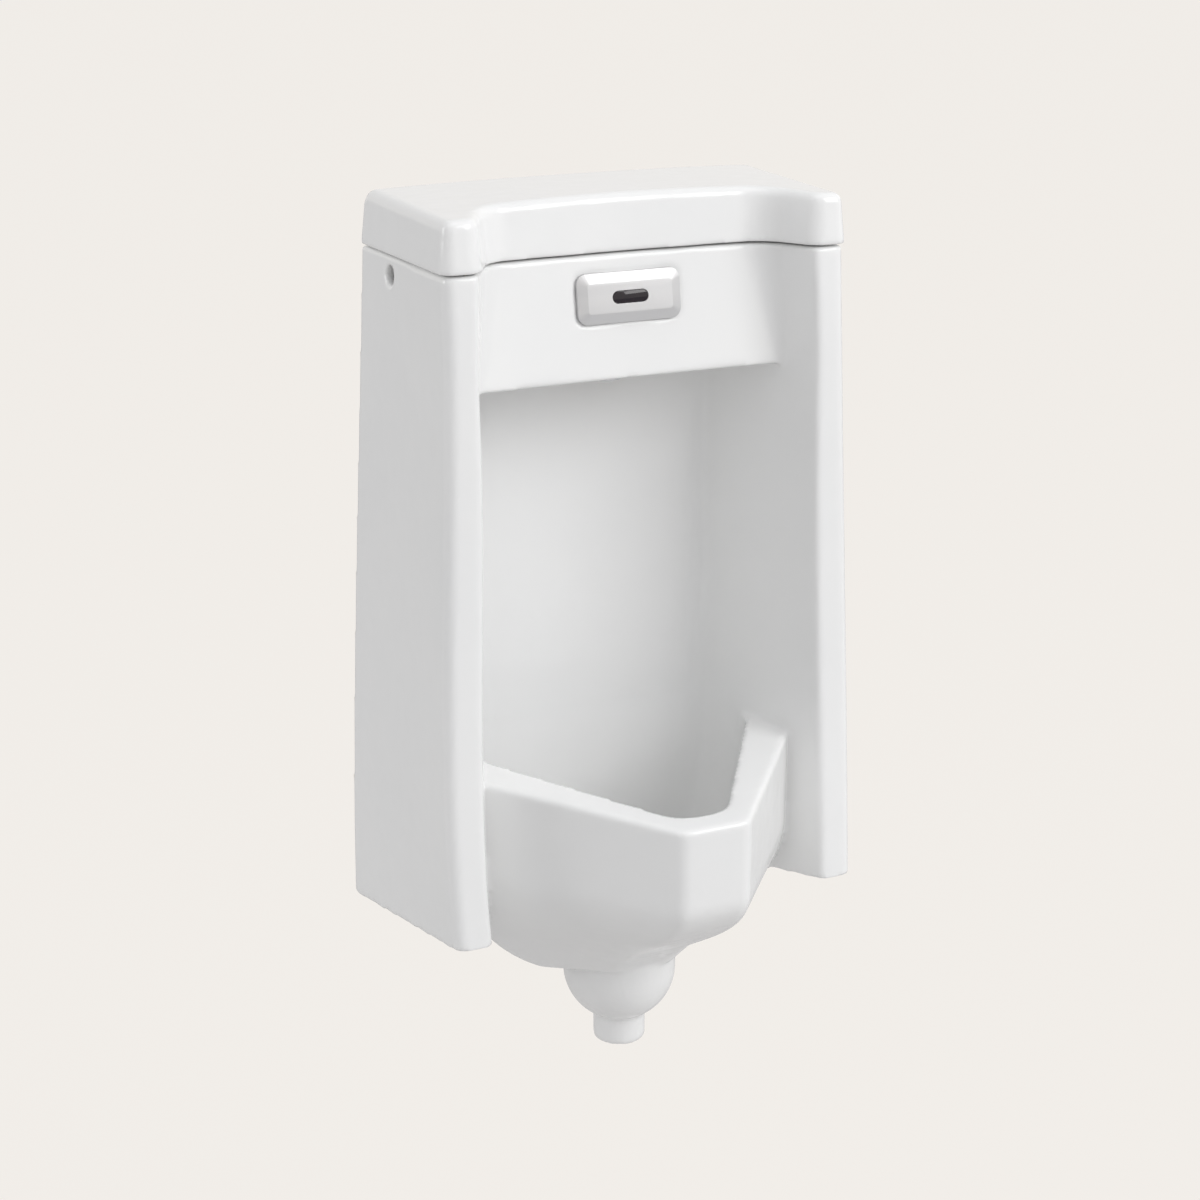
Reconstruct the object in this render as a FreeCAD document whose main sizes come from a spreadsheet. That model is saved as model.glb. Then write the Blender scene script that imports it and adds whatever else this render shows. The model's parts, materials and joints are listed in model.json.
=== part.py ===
import FreeCAD, Part
import Sketcher
import math
import os
import re

# Wall hung china urinal with a sensor flush. Millimetres, +Z up, front towards -Y, +X to the
# viewer's right. The origin lies on the wall, midway between the two wall bolts. Heights in the
# table below are measured up from the end of the spigot, and depths forward from the wall.

SIZES = {
    # china: heights
    "hang_height": 700.0,
    "top_level": 722.0,
    "waist_level": 446.0,
    "bowl_level": 296.0,
    "foot_level": 146.0,
    "header_bottom": 618.5,
    "foot_back": 133.0,
    "foot_front": 157.0,
    # china: half widths and depths of the plan at each level
    "top_back_half": 183.0,
    "top_front_half": 182.0,
    "top_depth": 181.0,
    "top_inner_half": 154.0,
    "waist_back_half": 197.0,
    "waist_front_half": 189.0,
    "waist_depth": 190.0,
    "waist_inner_half": 157.5,
    "bowl_back_half": 203.5,
    "bowl_front_half": 193.0,
    "bowl_depth": 195.0,
    "bowl_inner_half": 161.5,
    "foot_back_half": 207.0,
    "foot_front_half": 190.0,
    "foot_depth": 210.0,
    "foot_inner_half": 158.0,
    "wall": 11.0,
    "rail": 12.0,
    "wing_edge": 9.0,
    "wing_inner_edge": 6.0,
    # splash wall between the wings
    "splash_half": 110.0,
    "splash_side_depth": 60.0,
    "splash_depth": 46.0,
    "splash_bow": 600.0,
    "splash_corner_high": 16.0,
    "splash_corner_low": 36.0,
    # sloping header
    "header_top_depth": 130.0,
    "header_top_bow": 6.0,
    "header_low_depth": 145.0,
    "header_low_bow": 4.0,
    "header_curve": 600.0,
    "header_corner_high": 40.0,
    "header_wing_lean": 30.0,
    "wing_shoulder": 16.0,
    "header_corner_low": 9.0,
    # bowl, outside
    "lip_half": 31.0,
    "lip_depth": 305.0,
    "flank_half": 165.0,
    "flank_depth": 142.0,
    "bowl_back_depth": 50.0,
    "lip_edge": 14.0,
    "rim_height": 273.0,
    "rim_slope": 5.1,
    "rim_edge": 4.0,
    "band_bottom": 204.0,
    "belly_bottom": 88.0,
    "belly_lip_half": 26.0,
    "belly_front": 172.0,
    "belly_half": 84.0,
    "belly_side_depth": 128.0,
    "belly_back": 66.0,
    "belly_edge": 22.0,
    # bowl, inside
    "well_lip_inset": 9.0,
    "well_lip_half": "=lip_half - well_lip_inset",
    "lip_wall": 25.0,
    "well_front": "=lip_depth - lip_wall",
    "well_side_depth": 117.0,
    "well_edge": 30.0,
    "well_overcut": 0.3,
    "floor_height": 104.0,
    "floor_lip_half": 24.0,
    "floor_front": 172.0,
    "floor_half": 54.0,
    "floor_back_half": 40.0,
    "floor_back": 74.0,
    "floor_bow": 3.0,
    "floor_edge": 10.0,
    # trap bulb and spigot
    "drain_depth": 123.0,
    "bulb_radius": 51.0,
    "bulb_centre": 72.5,
    "spigot_radius": 23.5,
    "spigot_length": 30.0,
    "spigot_edge": 5.0,
    "outlet_bore": 17.0,
    "sump_radius": 36.0,
    "sump_floor": 50.0,
    "ledge_radius": 43.0,
    "ledge_height": 101.0,
    # lid
    "lid_overhang": 2.5,
    "lid_thick": 46.0,
    "lid_crown": 4.0,
    "lid_draft": 5.0,
    "lid_tilt": 1.6,
    "lid_back_round": 30.0,
    "lid_edge": 8.0,
    "lid_edge_share": 0.4,
    "lid_back_corner": 3.0,
    "lid_back_gap": 1.0,
    "lid_wall": 14.0,
    "lid_roof": 14.0,
    "lip_drop": 7.0,
    "lip_gap": 2.0,
    "lip_thick": 6.0,
    "bumper_radius": 3.5,
    "bumper_thick": 1.5,
    "bumper_front": 150.0,
    "bumper_back": 34.0,
    # wall bolts and side ports
    "bolt_spacing": 310.0,
    "bolt_hole": 5.25,
    "bush_radius": 8.8,
    "bush_gap": 0.2,
    "bush_flange": 13.0,
    "bush_flange_thick": 2.5,
    "port_radius": 8.5,
    "port_depth": 63.0,
    "port_height": 706.0,
    # sensor, measured along the header face
    "sensor_height": 686.0,
    "plate_wide": 95.0,
    "plate_tall": 42.0,
    "plate_thick": 6.0,
    "plate_corner": 9.0,
    "plate_bevel": 2.6,
    "plate_bevel_wide": 8.5,
    "plate_face_corner": 3.0,
    "seat_gap": 1.6,
    "seat_sink": 0.8,
    "gasket_thick": 1.0,
    "gasket_edge": 3.0,
    "window_wide": 33.0,
    "window_tall": 10.5,
    "window_thick": 3.0,
    "window_sink": 0.6,
    "window_gap": 0.1,
    "eye_wide": 74.0,
    "eye_tall": 26.0,
    "eye_deep": 22.0,
    "eye_wall": 2.0,
    "eye_gap": 1.5,
    "board_thick": 1.6,
    "board_depth": 8.0,
    "diode_radius": 2.5,
    "diode_space": 17.0,
    "stud_radius": 2.0,
    "stud_space": 87.0,
    "stud_length": 24.0,
    "stud_grip": 3.0,
    "stud_gap": 0.5,
    "bracket_wide": 100.0,
    "bracket_tall": 36.0,
    "bracket_thick": 2.0,
    "nut_half": 3.5,
    "nut_thick": 3.2,
    # water way
    "line_height": 672.0,
    "line_depth": 48.0,
    "supply_across": 145.0,
    "supply_hole": 18.0,
    "thread_radius": 10.48,
    "thread_length": 14.0,
    "thread_end": 2.0,
    "elbow_radius": 12.5,
    "elbow_reach": 20.0,
    "line_bore": 7.0,
    "washer_thick": 2.0,
    "stop_length": 32.0,
    "stop_radius": 15.0,
    "ball_radius": 10.0,
    "ball_gap": 0.3,
    "ball_flat": 8.0,
    "stem_radius": 4.0,
    "stem_gap": 0.06,
    "stem_top": 27.0,
    "stem_slot": 1.2,
    "boss_radius": 8.5,
    "boss_top": 22.0,
    "seal_thick": 2.2,
    "seal_gap": 0.15,
    # flush valve
    "valve_size": 52.0,
    "valve_deep": 26.0,
    "valve_edge": 4.0,
    "membrane_radius": 22.0,
    "membrane_thick": 2.0,
    "chamber_radius": 18.0,
    "chamber_deep": 6.0,
    "seat_radius": 8.0,
    "seat_bore": 5.5,
    "seat_rise": 3.0,
    "seat_clear": 0.1,
    "core_radius": 9.0,
    "core_gap": 0.4,
    "port_bore": 3.0,
    "port_across": 13.0,
    "bonnet_thick": 8.0,
    "bonnet_room": 14.0,
    "bonnet_room_deep": 5.0,
    "guide_radius": 7.0,
    "guide_length": 34.0,
    "guide_end": 2.0,
    "plunger_radius": 5.0,
    "plunger_gap": 0.08,
    "plunger_length": 24.0,
    "plunger_rise": 0.3,
    "spring_radius": 3.6,
    "spring_wire": 0.7,
    "spring_pitch": 2.6,
    "coil_radius": 14.0,
    "coil_length": 27.0,
    "coil_gap": 0.15,
    "coil_nut_radius": 9.5,
    "coil_nut_thick": 3.5,
    "screw_space": 43.0,
    "screw_radius": 2.0,
    "screw_head": 3.6,
    "screw_head_tall": 3.0,
    "screw_deep": 14.0,
    "screen_radius": 6.7,
    "screen_length": 11.0,
    "screen_wall": 0.6,
    "screen_hole": 0.9,
    # pipe, spud and spreader
    "pipe_radius": 7.5,
    "pipe_wall": 1.0,
    "pipe_bend": 16.0,
    "pipe_entry": 5.0,
    "pipe_nut_half": 12.0,
    "pipe_nut_length": 14.0,
    "pipe_gap": 0.1,
    "spud_depth": 90.0,
    "spud_radius": 12.0,
    "spud_top": 650.0,
    "spud_flange": 20.0,
    "spud_flange_thick": 2.5,
    "spud_seal_thick": 2.5,
    "spud_gap": 1.5,
    "spud_nut_half": 17.0,
    "spud_nut_thick": 8.0,
    "spreader_radius": 15.0,
    "spreader_thick": 5.5,
    "spreader_slot": 2.0,
    # batteries
    "cell_radius": 7.2,
    "cell_length": 50.5,
    "cell_gap": 0.6,
    "contact_room": 3.2,
    "contact_thick": 0.6,
    "box_across": 75.0,
    "box_depth": 60.0,
    "box_wall": 2.5,
    "pad_thick": 1.0,
    "box_seal_thick": 1.0,
    "cover_thick": 3.0,
    # leads
    "lead_radius": 2.0,
    "lead_across": 24.0,
    # drain
    "strainer_radius": 42.5,
    "strainer_thick": 3.0,
    "strainer_hole": 2.4,
    "bell_radius": 27.0,
    "bell_wall": 2.5,
    "bell_bottom": 60.0,
    "pipe_top": 86.0,
    "standpipe_radius": 19.0,
    "standpipe_wall": 2.5,
    "standpipe_flange": 23.0,
    "standpipe_flange_thick": 3.0,
    "standpipe_gap": 0.2,
    "standpipe_insert": 14.0,
    "ring_thick": 1.7,
    "knob_radius": 4.5,
    "knob_tall": 2.2,
    "knob_shank": 2.5,
    "knob_gap": 0.2,
}

doc = FreeCAD.newDocument("wall_urinal")
sheet = doc.addObject("Spreadsheet::Sheet", "Sizes")
for row, (alias, value) in enumerate(SIZES.items(), start=1):
    sheet.set("A%d" % row, alias)
    sheet.set("B%d" % row, str(value))
    sheet.setAlias("B%d" % row, alias)
doc.recompute()

nodes = []


def size(alias):
    return float(sheet.get(alias))


def rise(height):
    """Height above the spigot's end, as a height in the part's frame."""
    return height - size("hang_height")


def formula(text):
    def named(match):
        word = match.group()
        return "Sizes." + word if word in SIZES else word
    return re.sub(r"[a-z][a-z_0-9]*", named, text)


def bind(thing, prop, text):
    thing.setExpression(prop, formula(text))


def keep(label, thing):
    thing.Label = label
    nodes.append(thing)
    return thing


# ---- placing and joining ------------------------------------------------------------------

# turns that lay a piece's own Z along the named direction
TURNS = {
    "up": FreeCAD.Rotation(),
    "right": FreeCAD.Rotation(FreeCAD.Vector(0, 1, 0), 90),
    "front": FreeCAD.Rotation(FreeCAD.Vector(1, 0, 0), 90),
    "back": FreeCAD.Rotation(FreeCAD.Vector(1, 0, 0), -90),
}


def place(thing, across="0", depth="0", height="hang_height", along="up"):
    """Across is X, depth is measured forward from the wall, height from the spigot's end."""
    thing.Placement = FreeCAD.Placement(FreeCAD.Vector(), TURNS[along])
    bind(thing, "Placement.Base.x", across)
    bind(thing, "Placement.Base.y", "-(%s)" % depth)
    bind(thing, "Placement.Base.z", "%s - hang_height" % height)
    return thing


def freely(thing, placement):
    """Frees a piece from its bound place and puts it at one that turns freely."""
    for axis in "xyz":
        thing.setExpression("Placement.Base.%s" % axis, None)
    thing.Placement = placement
    return thing


def cylinder(radius, length, **where):
    thing = doc.addObject("Part::Cylinder", "Rod")
    bind(thing, "Radius", radius)
    bind(thing, "Height", length)
    return place(thing, **where)


def block(wide, deep, tall, across, depth, height):
    """A box centred on across, reaching from depth back towards the wall, and up from height."""
    thing = doc.addObject("Part::Box", "Block")
    bind(thing, "Length", wide)
    bind(thing, "Width", deep)
    bind(thing, "Height", tall)
    return place(thing, "%s - (%s) / 2" % (across, wide), depth, height)


def ball(radius, **where):
    thing = doc.addObject("Part::Sphere", "Ball")
    bind(thing, "Radius", radius)
    return place(thing, **where)


def ring(major, minor, **where):
    thing = doc.addObject("Part::Torus", "Ring")
    bind(thing, "Radius1", major)
    bind(thing, "Radius2", minor)
    return place(thing, **where)


def hexagon(half, length, **where):
    """A hexagonal bar, half its width across the flats given."""
    thing = doc.addObject("Part::Prism", "Hexagon")
    thing.Polygon = 6
    bind(thing, "Circumradius", "(%s) / cos(30 deg)" % half)
    bind(thing, "Height", length)
    return place(thing, **where)


def fuse(*things):
    thing = doc.addObject("Part::MultiFuse", "Fuse")
    thing.Shapes = list(things)
    return thing


def cut(base, *tools):
    thing = doc.addObject("Part::Cut", "Cut")
    thing.Base = base
    thing.Tool = tools[0] if len(tools) == 1 else fuse(*tools)
    return thing


def common(*things):
    thing = doc.addObject("Part::MultiCommon", "Common")
    thing.Shapes = list(things)
    return thing


def group(*things):
    thing = doc.addObject("Part::Compound", "Group")
    thing.Links = list(things)
    return thing


def blank(shape):
    thing = doc.addObject("Part::Feature", "Blank")
    thing.Shape = shape
    return thing


def soften(base, radius, chosen):
    """Rounds the edges of base that chosen() picks by the ends and middle of each edge."""
    doc.recompute()
    thing = doc.addObject("Part::Fillet", "Rounded")
    thing.Base = base
    picked = []
    for number, edge in enumerate(base.Shape.Edges, start=1):
        if chosen(edge):
            picked.append((number, radius, radius))
    thing.Edges = picked
    return thing


# ---- sketched pieces ----------------------------------------------------------------------


def plane_of(body, role):
    return next(part for part in body.Origin.OriginFeatures if part.Role == role)


def sketched(body, role, points):
    """A closed outline of straight lines whose corners are tied to the sheet."""
    sketch = body.newObject("Sketcher::SketchObject", "Outline")
    sketch.AttachmentSupport = [(plane_of(body, role), "")]
    sketch.MapMode = "FlatFace"
    spots = [FreeCAD.Vector(worth(x), worth(y), 0) for x, y in points]
    count = len(spots)
    for index in range(count):
        sketch.addGeometry(Part.LineSegment(spots[index], spots[(index + 1) % count]))
    for index in range(count):
        sketch.addConstraint(Sketcher.Constraint("Coincident", index, 2, (index + 1) % count, 1))
    for index, (x, y) in enumerate(points):
        for kind, text, axis in (("DistanceX", x, -2), ("DistanceY", y, -1)):
            if text == "0":
                sketch.addConstraint(Sketcher.Constraint("PointOnObject", index, 1, axis))
            else:
                tie = Sketcher.Constraint(kind, -1, 1, index, 1, worth(text))
                number = sketch.addConstraint(tie)
                sketch.setExpression("Constraints[%d]" % number, formula(text))
    return sketch


def worth(text):
    """The number that a sheet formula has now."""
    def named(match):
        word = match.group()
        return repr(size(word)) if word in SIZES else word
    numbers = re.sub(r"[a-z][a-z_0-9]*", named, text)
    return float(FreeCAD.Units.Quantity("(%s) mm" % numbers).Value)


def turned(points, **where):
    """A body turned round its own Z from (radius, height) corners."""
    body = doc.addObject("PartDesign::Body", "Turned")
    sketch = sketched(body, "XZ_Plane", points)
    doc.recompute()
    turn = body.newObject("PartDesign::Revolution", "Turn")
    turn.Profile = sketch
    turn.ReferenceAxis = (sketch, ["V_Axis"])
    turn.Angle = 360
    return place(body, **where)


def padded(points, length, **where):
    """A body padded up its own Z from (x, y) corners."""
    body = doc.addObject("PartDesign::Body", "Padded")
    sketch = sketched(body, "XY_Plane", points)
    doc.recompute()
    pad = body.newObject("PartDesign::Pad", "Pad")
    pad.Profile = sketch
    bind(pad, "Length", length)
    return place(body, **where)


# ---- plan outlines of the china: lists of (x, y, corner radius) ----------------------------


def outline(corners, height):
    """A level closed wire through the corners, each rounded to its radius."""
    edges = []
    count = len(corners)
    ends = []
    for index, (x, y, radius) in enumerate(corners):
        here = FreeCAD.Vector(x, y, height)
        before = FreeCAD.Vector(*corners[index - 1][:2], height)
        after = FreeCAD.Vector(*corners[(index + 1) % count][:2], height)
        inward = (here - before).normalize()
        outward = (after - here).normalize()
        half = inward.getAngle(outward) / 2
        if radius == 0:
            ends.append((here, None, here))
            continue
        reach = radius * math.tan(half)
        middle = (outward - inward).normalize() * radius * (1 / math.cos(half) - 1)
        ends.append((here - inward * reach, here + middle, here + outward * reach))
    for index, (start, middle, end) in enumerate(ends):
        edges.append(Part.LineSegment(ends[index - 1][2], start).toShape())
        if middle is not None:
            edges.append(Part.Arc(start, middle, end).toShape())
    return Part.Wire(edges)


def inset(corners, gap):
    """The same outline, moved inwards by gap; corners run anticlockwise seen from above."""
    lines = []
    count = len(corners)
    for index in range(count):
        x, y, _ = corners[index]
        next_x, next_y, _ = corners[(index + 1) % count]
        run = math.hypot(next_x - x, next_y - y)
        along = ((next_x - x) / run, (next_y - y) / run)
        lines.append((x - along[1] * gap, y + along[0] * gap, along))
    moved = []
    for index in range(count):
        x, y, (ax, ay) = lines[index - 1]
        next_x, next_y, (bx, by) = lines[index]
        turn = ax * by - ay * bx
        reach = ((next_x - x) * by - (next_y - y) * bx) / turn
        radius = corners[index][2]
        if radius > 0:
            radius = max(radius - gap, 1.0) if turn > 0 else radius + gap
        moved.append((x + ax * reach, y + ay * reach, radius))
    return moved


def mirrored(half):
    """Corners on the right side, from back to front, made into a full anticlockwise outline."""
    left = [(-x, y, radius) for x, y, radius in half]
    right = [corner for corner in reversed(half) if corner[0] > 0]
    return left + right


def plan(level):
    """Half widths and depth of the plan at a named level."""
    parts = ("back_half", "front_half", "depth", "inner_half")
    return [size("%s_%s" % (level, part)) for part in parts]


LEVELS = ("foot", "bowl", "waist", "top")


def blend(low, high, share):
    return low + (high - low) * share


def level_heights():
    return [size("%s_level" % level) for level in LEVELS]


def plan_at(height):
    """The plan's sizes at any height, on straight lines between the named levels."""
    heights = level_heights()
    for index in range(len(LEVELS) - 1):
        if height <= heights[index + 1] or index == len(LEVELS) - 2:
            share = (height - heights[index]) / (heights[index + 1] - heights[index])
            lower, upper = plan(LEVELS[index]), plan(LEVELS[index + 1])
            return [blend(low, high, share) for low, high in zip(lower, upper)]


def hull_corners(height, past=0):
    """The plan of the whole casting, with its sides run on past the wall plane."""
    back_half, front_half, depth, _ = plan_at(height)
    spread = (back_half - front_half) / depth
    return mirrored([(back_half + spread * past, past, 0),
                     (front_half, -depth, size("wing_edge"))])


def splash_corners(height, front):
    """The recess between the wings: its back wall, side walls and an open front."""
    _, _, depth, inner_half = plan_at(height)
    half, side, back = size("splash_half"), size("splash_side_depth"), size("splash_depth")
    share = (height - size("foot_level")) / (size("header_bottom") - size("foot_level"))
    corner = blend(size("splash_corner_low"), size("splash_corner_high"), share)
    slope = (inner_half - half) / (depth - side)
    front_half = half + slope * (front - side)
    return mirrored([(0, -back, size("splash_bow")), (half, -side, corner),
                     (front_half, -front, 0)])


def header_corners(height, front=None):
    """The plan in front of the header's face, or the header's own plan when front is None."""
    back_half, front_half, depth, inner_half = plan_at(height)
    share = (height - size("header_bottom")) / (size("top_level") - size("header_bottom"))
    face = blend(size("header_low_depth"), size("header_top_depth"), share)
    bow = blend(size("header_low_bow"), size("header_top_bow"), share)
    corner = blend(size("header_corner_low"), size("header_corner_high"), share)
    wing_low = (inner_half - size("splash_half")) / (depth - size("splash_side_depth"))
    wing_high = math.tan(math.radians(size("header_wing_lean")))
    wing_slope = blend(wing_low, wing_high, share)
    face_slope = bow / inner_half
    meet = (inner_half - wing_slope * (depth - face)) / (1 - wing_slope * face_slope)
    centre = (0, -face, size("header_curve"))
    joint = (meet, -face - face_slope * meet, corner)
    if front is not None:
        return mirrored([centre, joint, (inner_half + wing_slope * (front - depth), -front, 0)])
    edge, shoulder = size("wing_edge"), size("wing_shoulder")
    return [(-back_half, 0, 0), (-front_half, -depth, edge), (-inner_half, -depth, shoulder),
            (-joint[0], joint[1], corner), centre, joint,
            (inner_half, -depth, shoulder), (front_half, -depth, edge), (back_half, 0, 0)]


def with_back(corners, back):
    """The same outline with its two wall corners moved to another distance from the wall."""
    return [(x, back if y == 0 else y, radius) for x, y, radius in corners]


def loft(sections, straight=False):
    """A solid through (corners, height) sections."""
    wires = [outline(corners, rise(height)) for corners, height in sections]
    return blank(Part.makeLoft(wires, True, straight))


def curved_share(share, power):
    """1 at the top and 0 at the bottom, leaving the top upright and rounding in below."""
    return math.cos(math.pi / 2 * share) ** power


# ---- the china body -------------------------------------------------------------------------


FRONT = 400.0  # clear of everything in front
BELOW = 20.0   # clear of the foot


def hull():
    foot = size("foot_level") - BELOW
    heights = [foot] + level_heights()[1:]
    return loft([(hull_corners(height, BELOW), height) for height in heights])


def behind_wall():
    return block("4 * foot_back_half", "2 * foot_back_half", "2 * top_level", across="0",
                 depth="0", height="0")


def splash_recess():
    foot, top = size("foot_level") - BELOW * 2, size("header_bottom")
    heights = [foot] + level_heights()[1:3] + [top]
    return loft([(splash_corners(height, FRONT), height) for height in heights])


def header_front():
    low, high = size("header_bottom"), size("top_level") + BELOW
    return loft([(header_corners(height, FRONT), height) for height in (low, high)], True)


def bowl_corners(height):
    share = (size("band_bottom") - height) / (size("band_bottom") - size("belly_bottom"))
    front_share = curved_share(max(share, 0), 1.5)
    side_share = curved_share(max(share, 0), 0.8)
    lip = blend(size("belly_lip_half"), size("lip_half"), front_share)
    front = blend(size("belly_front"), size("lip_depth"), front_share)
    half = blend(size("belly_half"), size("flank_half"), side_share)
    side = blend(size("belly_side_depth"), size("flank_depth"), side_share)
    back = blend(size("belly_back"), size("bowl_back_depth"), side_share)
    edge = blend(size("belly_edge"), size("lip_edge"), side_share)
    return mirrored([(half, -back, edge), (half, -side, edge), (lip, -front, edge)])


def bowl_band():
    low, high = size("band_bottom"), size("rim_height") + BELOW * 2
    return loft([(bowl_corners(height), height) for height in (low, high)], True)


def bowl_belly():
    low, high = size("belly_bottom"), size("band_bottom")
    steps = 6
    heights = [blend(high, low, index / steps) for index in range(steps + 1)]
    return loft([(bowl_corners(height), height) for height in heights])


def rim_plane():
    """Everything above the bowl's rim, between the wings and in front of the splash wall."""
    thing = doc.addObject("Part::Box", "Above")
    bind(thing, "Length", "2 * flank_half + 2 * wall")
    thing.Width = FRONT
    thing.Height = FRONT / 4
    turn = FreeCAD.Rotation(FreeCAD.Vector(1, 0, 0), size("rim_slope"))
    corner = FreeCAD.Vector(-size("flank_half") - size("wall"), -size("lip_depth"),
                            rise(size("rim_height")))
    thing.Placement = FreeCAD.Placement(corner, turn)
    return thing


def well_corners(height):
    """The inside of the bowl, which runs on from the splash wall at the rim."""
    top = size("rim_height")
    share = max((top - height) / (top - size("floor_height")), 0)
    front_share = curved_share(share, 0.7)
    side_share = curved_share(share, 0.45)
    _, _, depth, inner_half = plan_at(top)
    wing_slope = (inner_half - size("splash_half")) / (depth - size("splash_side_depth"))
    rim_side = size("well_side_depth")
    rim_half = size("splash_half") + wing_slope * (rim_side - size("splash_side_depth"))
    lip = blend(size("floor_lip_half"), size("well_lip_half"), front_share)
    front = blend(size("floor_front"), size("well_front"), front_share)
    half = blend(size("floor_half"), rim_half, side_share)
    side = blend(size("drain_depth"), rim_side, side_share)
    back_half = blend(size("floor_back_half"), size("splash_half"), side_share)
    back_side = blend(size("floor_back"), size("splash_side_depth"), side_share)
    back = blend(size("floor_back") - size("floor_bow"), size("splash_depth"), side_share)
    bow = blend(size("floor_edge"), size("splash_bow"), side_share)
    edge = blend(size("floor_edge"), size("well_edge"), side_share)
    return inset(mirrored([(0, -back, bow), (back_half, -back_side, edge), (half, -side, edge),
                           (lip, -front, edge)]), -size("well_overcut"))


def well():
    low, high = size("floor_height"), size("rim_height")
    steps = 7
    heights = [blend(high, low, index / steps) for index in range(steps + 1)]
    return loft([(well_corners(height), height) for height in heights])


def well_mouth():
    low = size("rim_height")
    high = low + size("lip_depth") * math.tan(math.radians(size("rim_slope")))
    return loft([(well_corners(height), height) for height in (low, high)], True)


def foot_plane():
    """Everything below the sloping foot."""
    run = size("foot_depth")
    lift = size("foot_front") - size("foot_back")
    thing = doc.addObject("Part::Box", "Below")
    bind(thing, "Length", "4 * foot_back_half")
    thing.Width = FRONT
    thing.Height = FRONT / 2
    turn = FreeCAD.Rotation(FreeCAD.Vector(1, 0, 0), -math.degrees(math.atan2(lift, run)))
    back = FreeCAD.Vector(-2 * size("foot_back_half"), BELOW,
                          rise(size("foot_back")) - BELOW * lift / run)
    thing.Placement = FreeCAD.Placement(back, turn).multiply(
        FreeCAD.Placement(FreeCAD.Vector(0, -FRONT, -FRONT / 2), FreeCAD.Rotation()))
    return thing


def bulb():
    """The round trap bulb and the spigot under it."""
    spigot = cylinder("spigot_radius", "spigot_length", depth="drain_depth", height="0")
    rounded = soften(spigot, size("spigot_edge"),
                     lambda edge: len(edge.Vertexes) == 1 and edge.CenterOfMass.z <
                     rise(size("spigot_edge")))
    neck = cylinder("bulb_radius", "floor_height - bulb_centre", depth="drain_depth",
                    height="bulb_centre")
    return fuse(ball("bulb_radius", depth="drain_depth", height="bulb_centre"), neck, rounded)


def hollow():
    """The space inside the wings and behind the splash wall, open to the wall."""
    wall = size("wall")
    heights = [size("foot_front") + wall] + level_heights()[1:3]
    heights.append(size("header_bottom") + wall + 1)
    sections = []
    for height in heights:
        back_half, front_half, depth, inner_half = plan_at(height)
        side = splash_corners(height, depth)
        edge = size("wing_edge")
        right = [corner for corner in side if corner[0] > 0]
        around = [(-back_half, 0, 0), (-front_half, -depth, edge), (-inner_half, -depth, edge)]
        splash = sorted([corner for corner in side if abs(corner[1]) < depth - 1])
        around += splash
        around += [(inner_half, -depth, edge), (front_half, -depth, edge), (back_half, 0, 0)]
        sections.append((inset(with_back(around, wall + BELOW / 4), wall), height))
    return loft(sections)


def header_room():
    """The room in the header for the flush gear, open at the top."""
    wall = size("wall")
    sections = []
    for height in (size("header_bottom") + wall, size("top_level") + BELOW):
        corners = with_back(header_corners(height), wall - size("rail"))
        sections.append((inset(corners, wall), height))
    return loft(sections, True)


def face_frame():
    """Where the sensor sits: a frame on the header's face, Y pointing in along its normal."""
    def apex(height):
        corners = header_corners(height, FRONT)
        return outline(corners, rise(height))
    spots = []
    for height in (size("header_bottom"), size("sensor_height"), size("top_level")):
        line = Part.LineSegment(FreeCAD.Vector(0, 0, rise(height)),
                                FreeCAD.Vector(0, -FRONT / 2, rise(height))).toShape()
        spots.append(apex(height).distToShape(line)[1][0][0])
    tilt = math.degrees(math.atan2(spots[2].y - spots[0].y, spots[2].z - spots[0].z))
    turn = FreeCAD.Rotation(FreeCAD.Vector(1, 0, 0), -tilt)
    sunk = turn.multVec(FreeCAD.Vector(0, size("seat_sink"), 0))
    return FreeCAD.Placement(spots[1] + sunk, turn)


def tile(wide, tall, corner, along=0):
    """A rounded rectangle's outline, before it is turned to the header's face."""
    half_wide, half_tall = wide / 2, tall / 2
    return outline([(half_wide, half_tall, corner), (-half_wide, half_tall, corner),
                    (-half_wide, -half_tall, corner), (half_wide, -half_tall, corner)], along)


def on_face(shape, front, frame):
    """A shape that runs along Z, laid square to the header's face from front inwards."""
    shape.Placement = FreeCAD.Placement(FreeCAD.Vector(0, front, 0), TURNS["back"])
    thing = blank(shape.copy())
    thing.Placement = frame.multiply(thing.Placement)
    return thing


def slab(wide, tall, thick, corner, front, frame):
    """A rounded rectangle on the header's face, from front inwards by thick."""
    face = Part.Face(tile(wide, tall, corner))
    return on_face(face.extrude(FreeCAD.Vector(0, 0, thick)), front, frame)


def rod(radius, length, across, front, frame):
    """A rod square to the header's face."""
    thing = doc.addObject("Part::Cylinder", "Rod")
    bind(thing, "Radius", radius)
    bind(thing, "Height", length)
    start = FreeCAD.Placement(FreeCAD.Vector(across, front, 0), TURNS["back"])
    thing.Placement = frame.multiply(start)
    return thing


def pair(maker, space):
    return [maker(side * space / 2) for side in (-1, 1)]


def sensor_cuts(frame):
    """The flat seat, the window through the wall and the two stud holes."""
    gap, deep = size("seat_gap"), size("wall") * 2
    seat = slab(size("plate_wide") + 2 * gap, size("plate_tall") + 2 * gap, deep / 2,
                size("plate_corner") + gap, -deep / 2, frame)
    slot = slab(size("eye_wide") + 2 * size("eye_gap"), size("eye_tall") + 2 * size("eye_gap"),
                deep * 2, size("eye_gap") + 1, -deep, frame)
    holes = pair(lambda across: rod("stud_radius + stud_gap", "4 * wall", across, -deep, frame),
                 size("stud_space"))
    return [seat, slot] + holes


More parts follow.
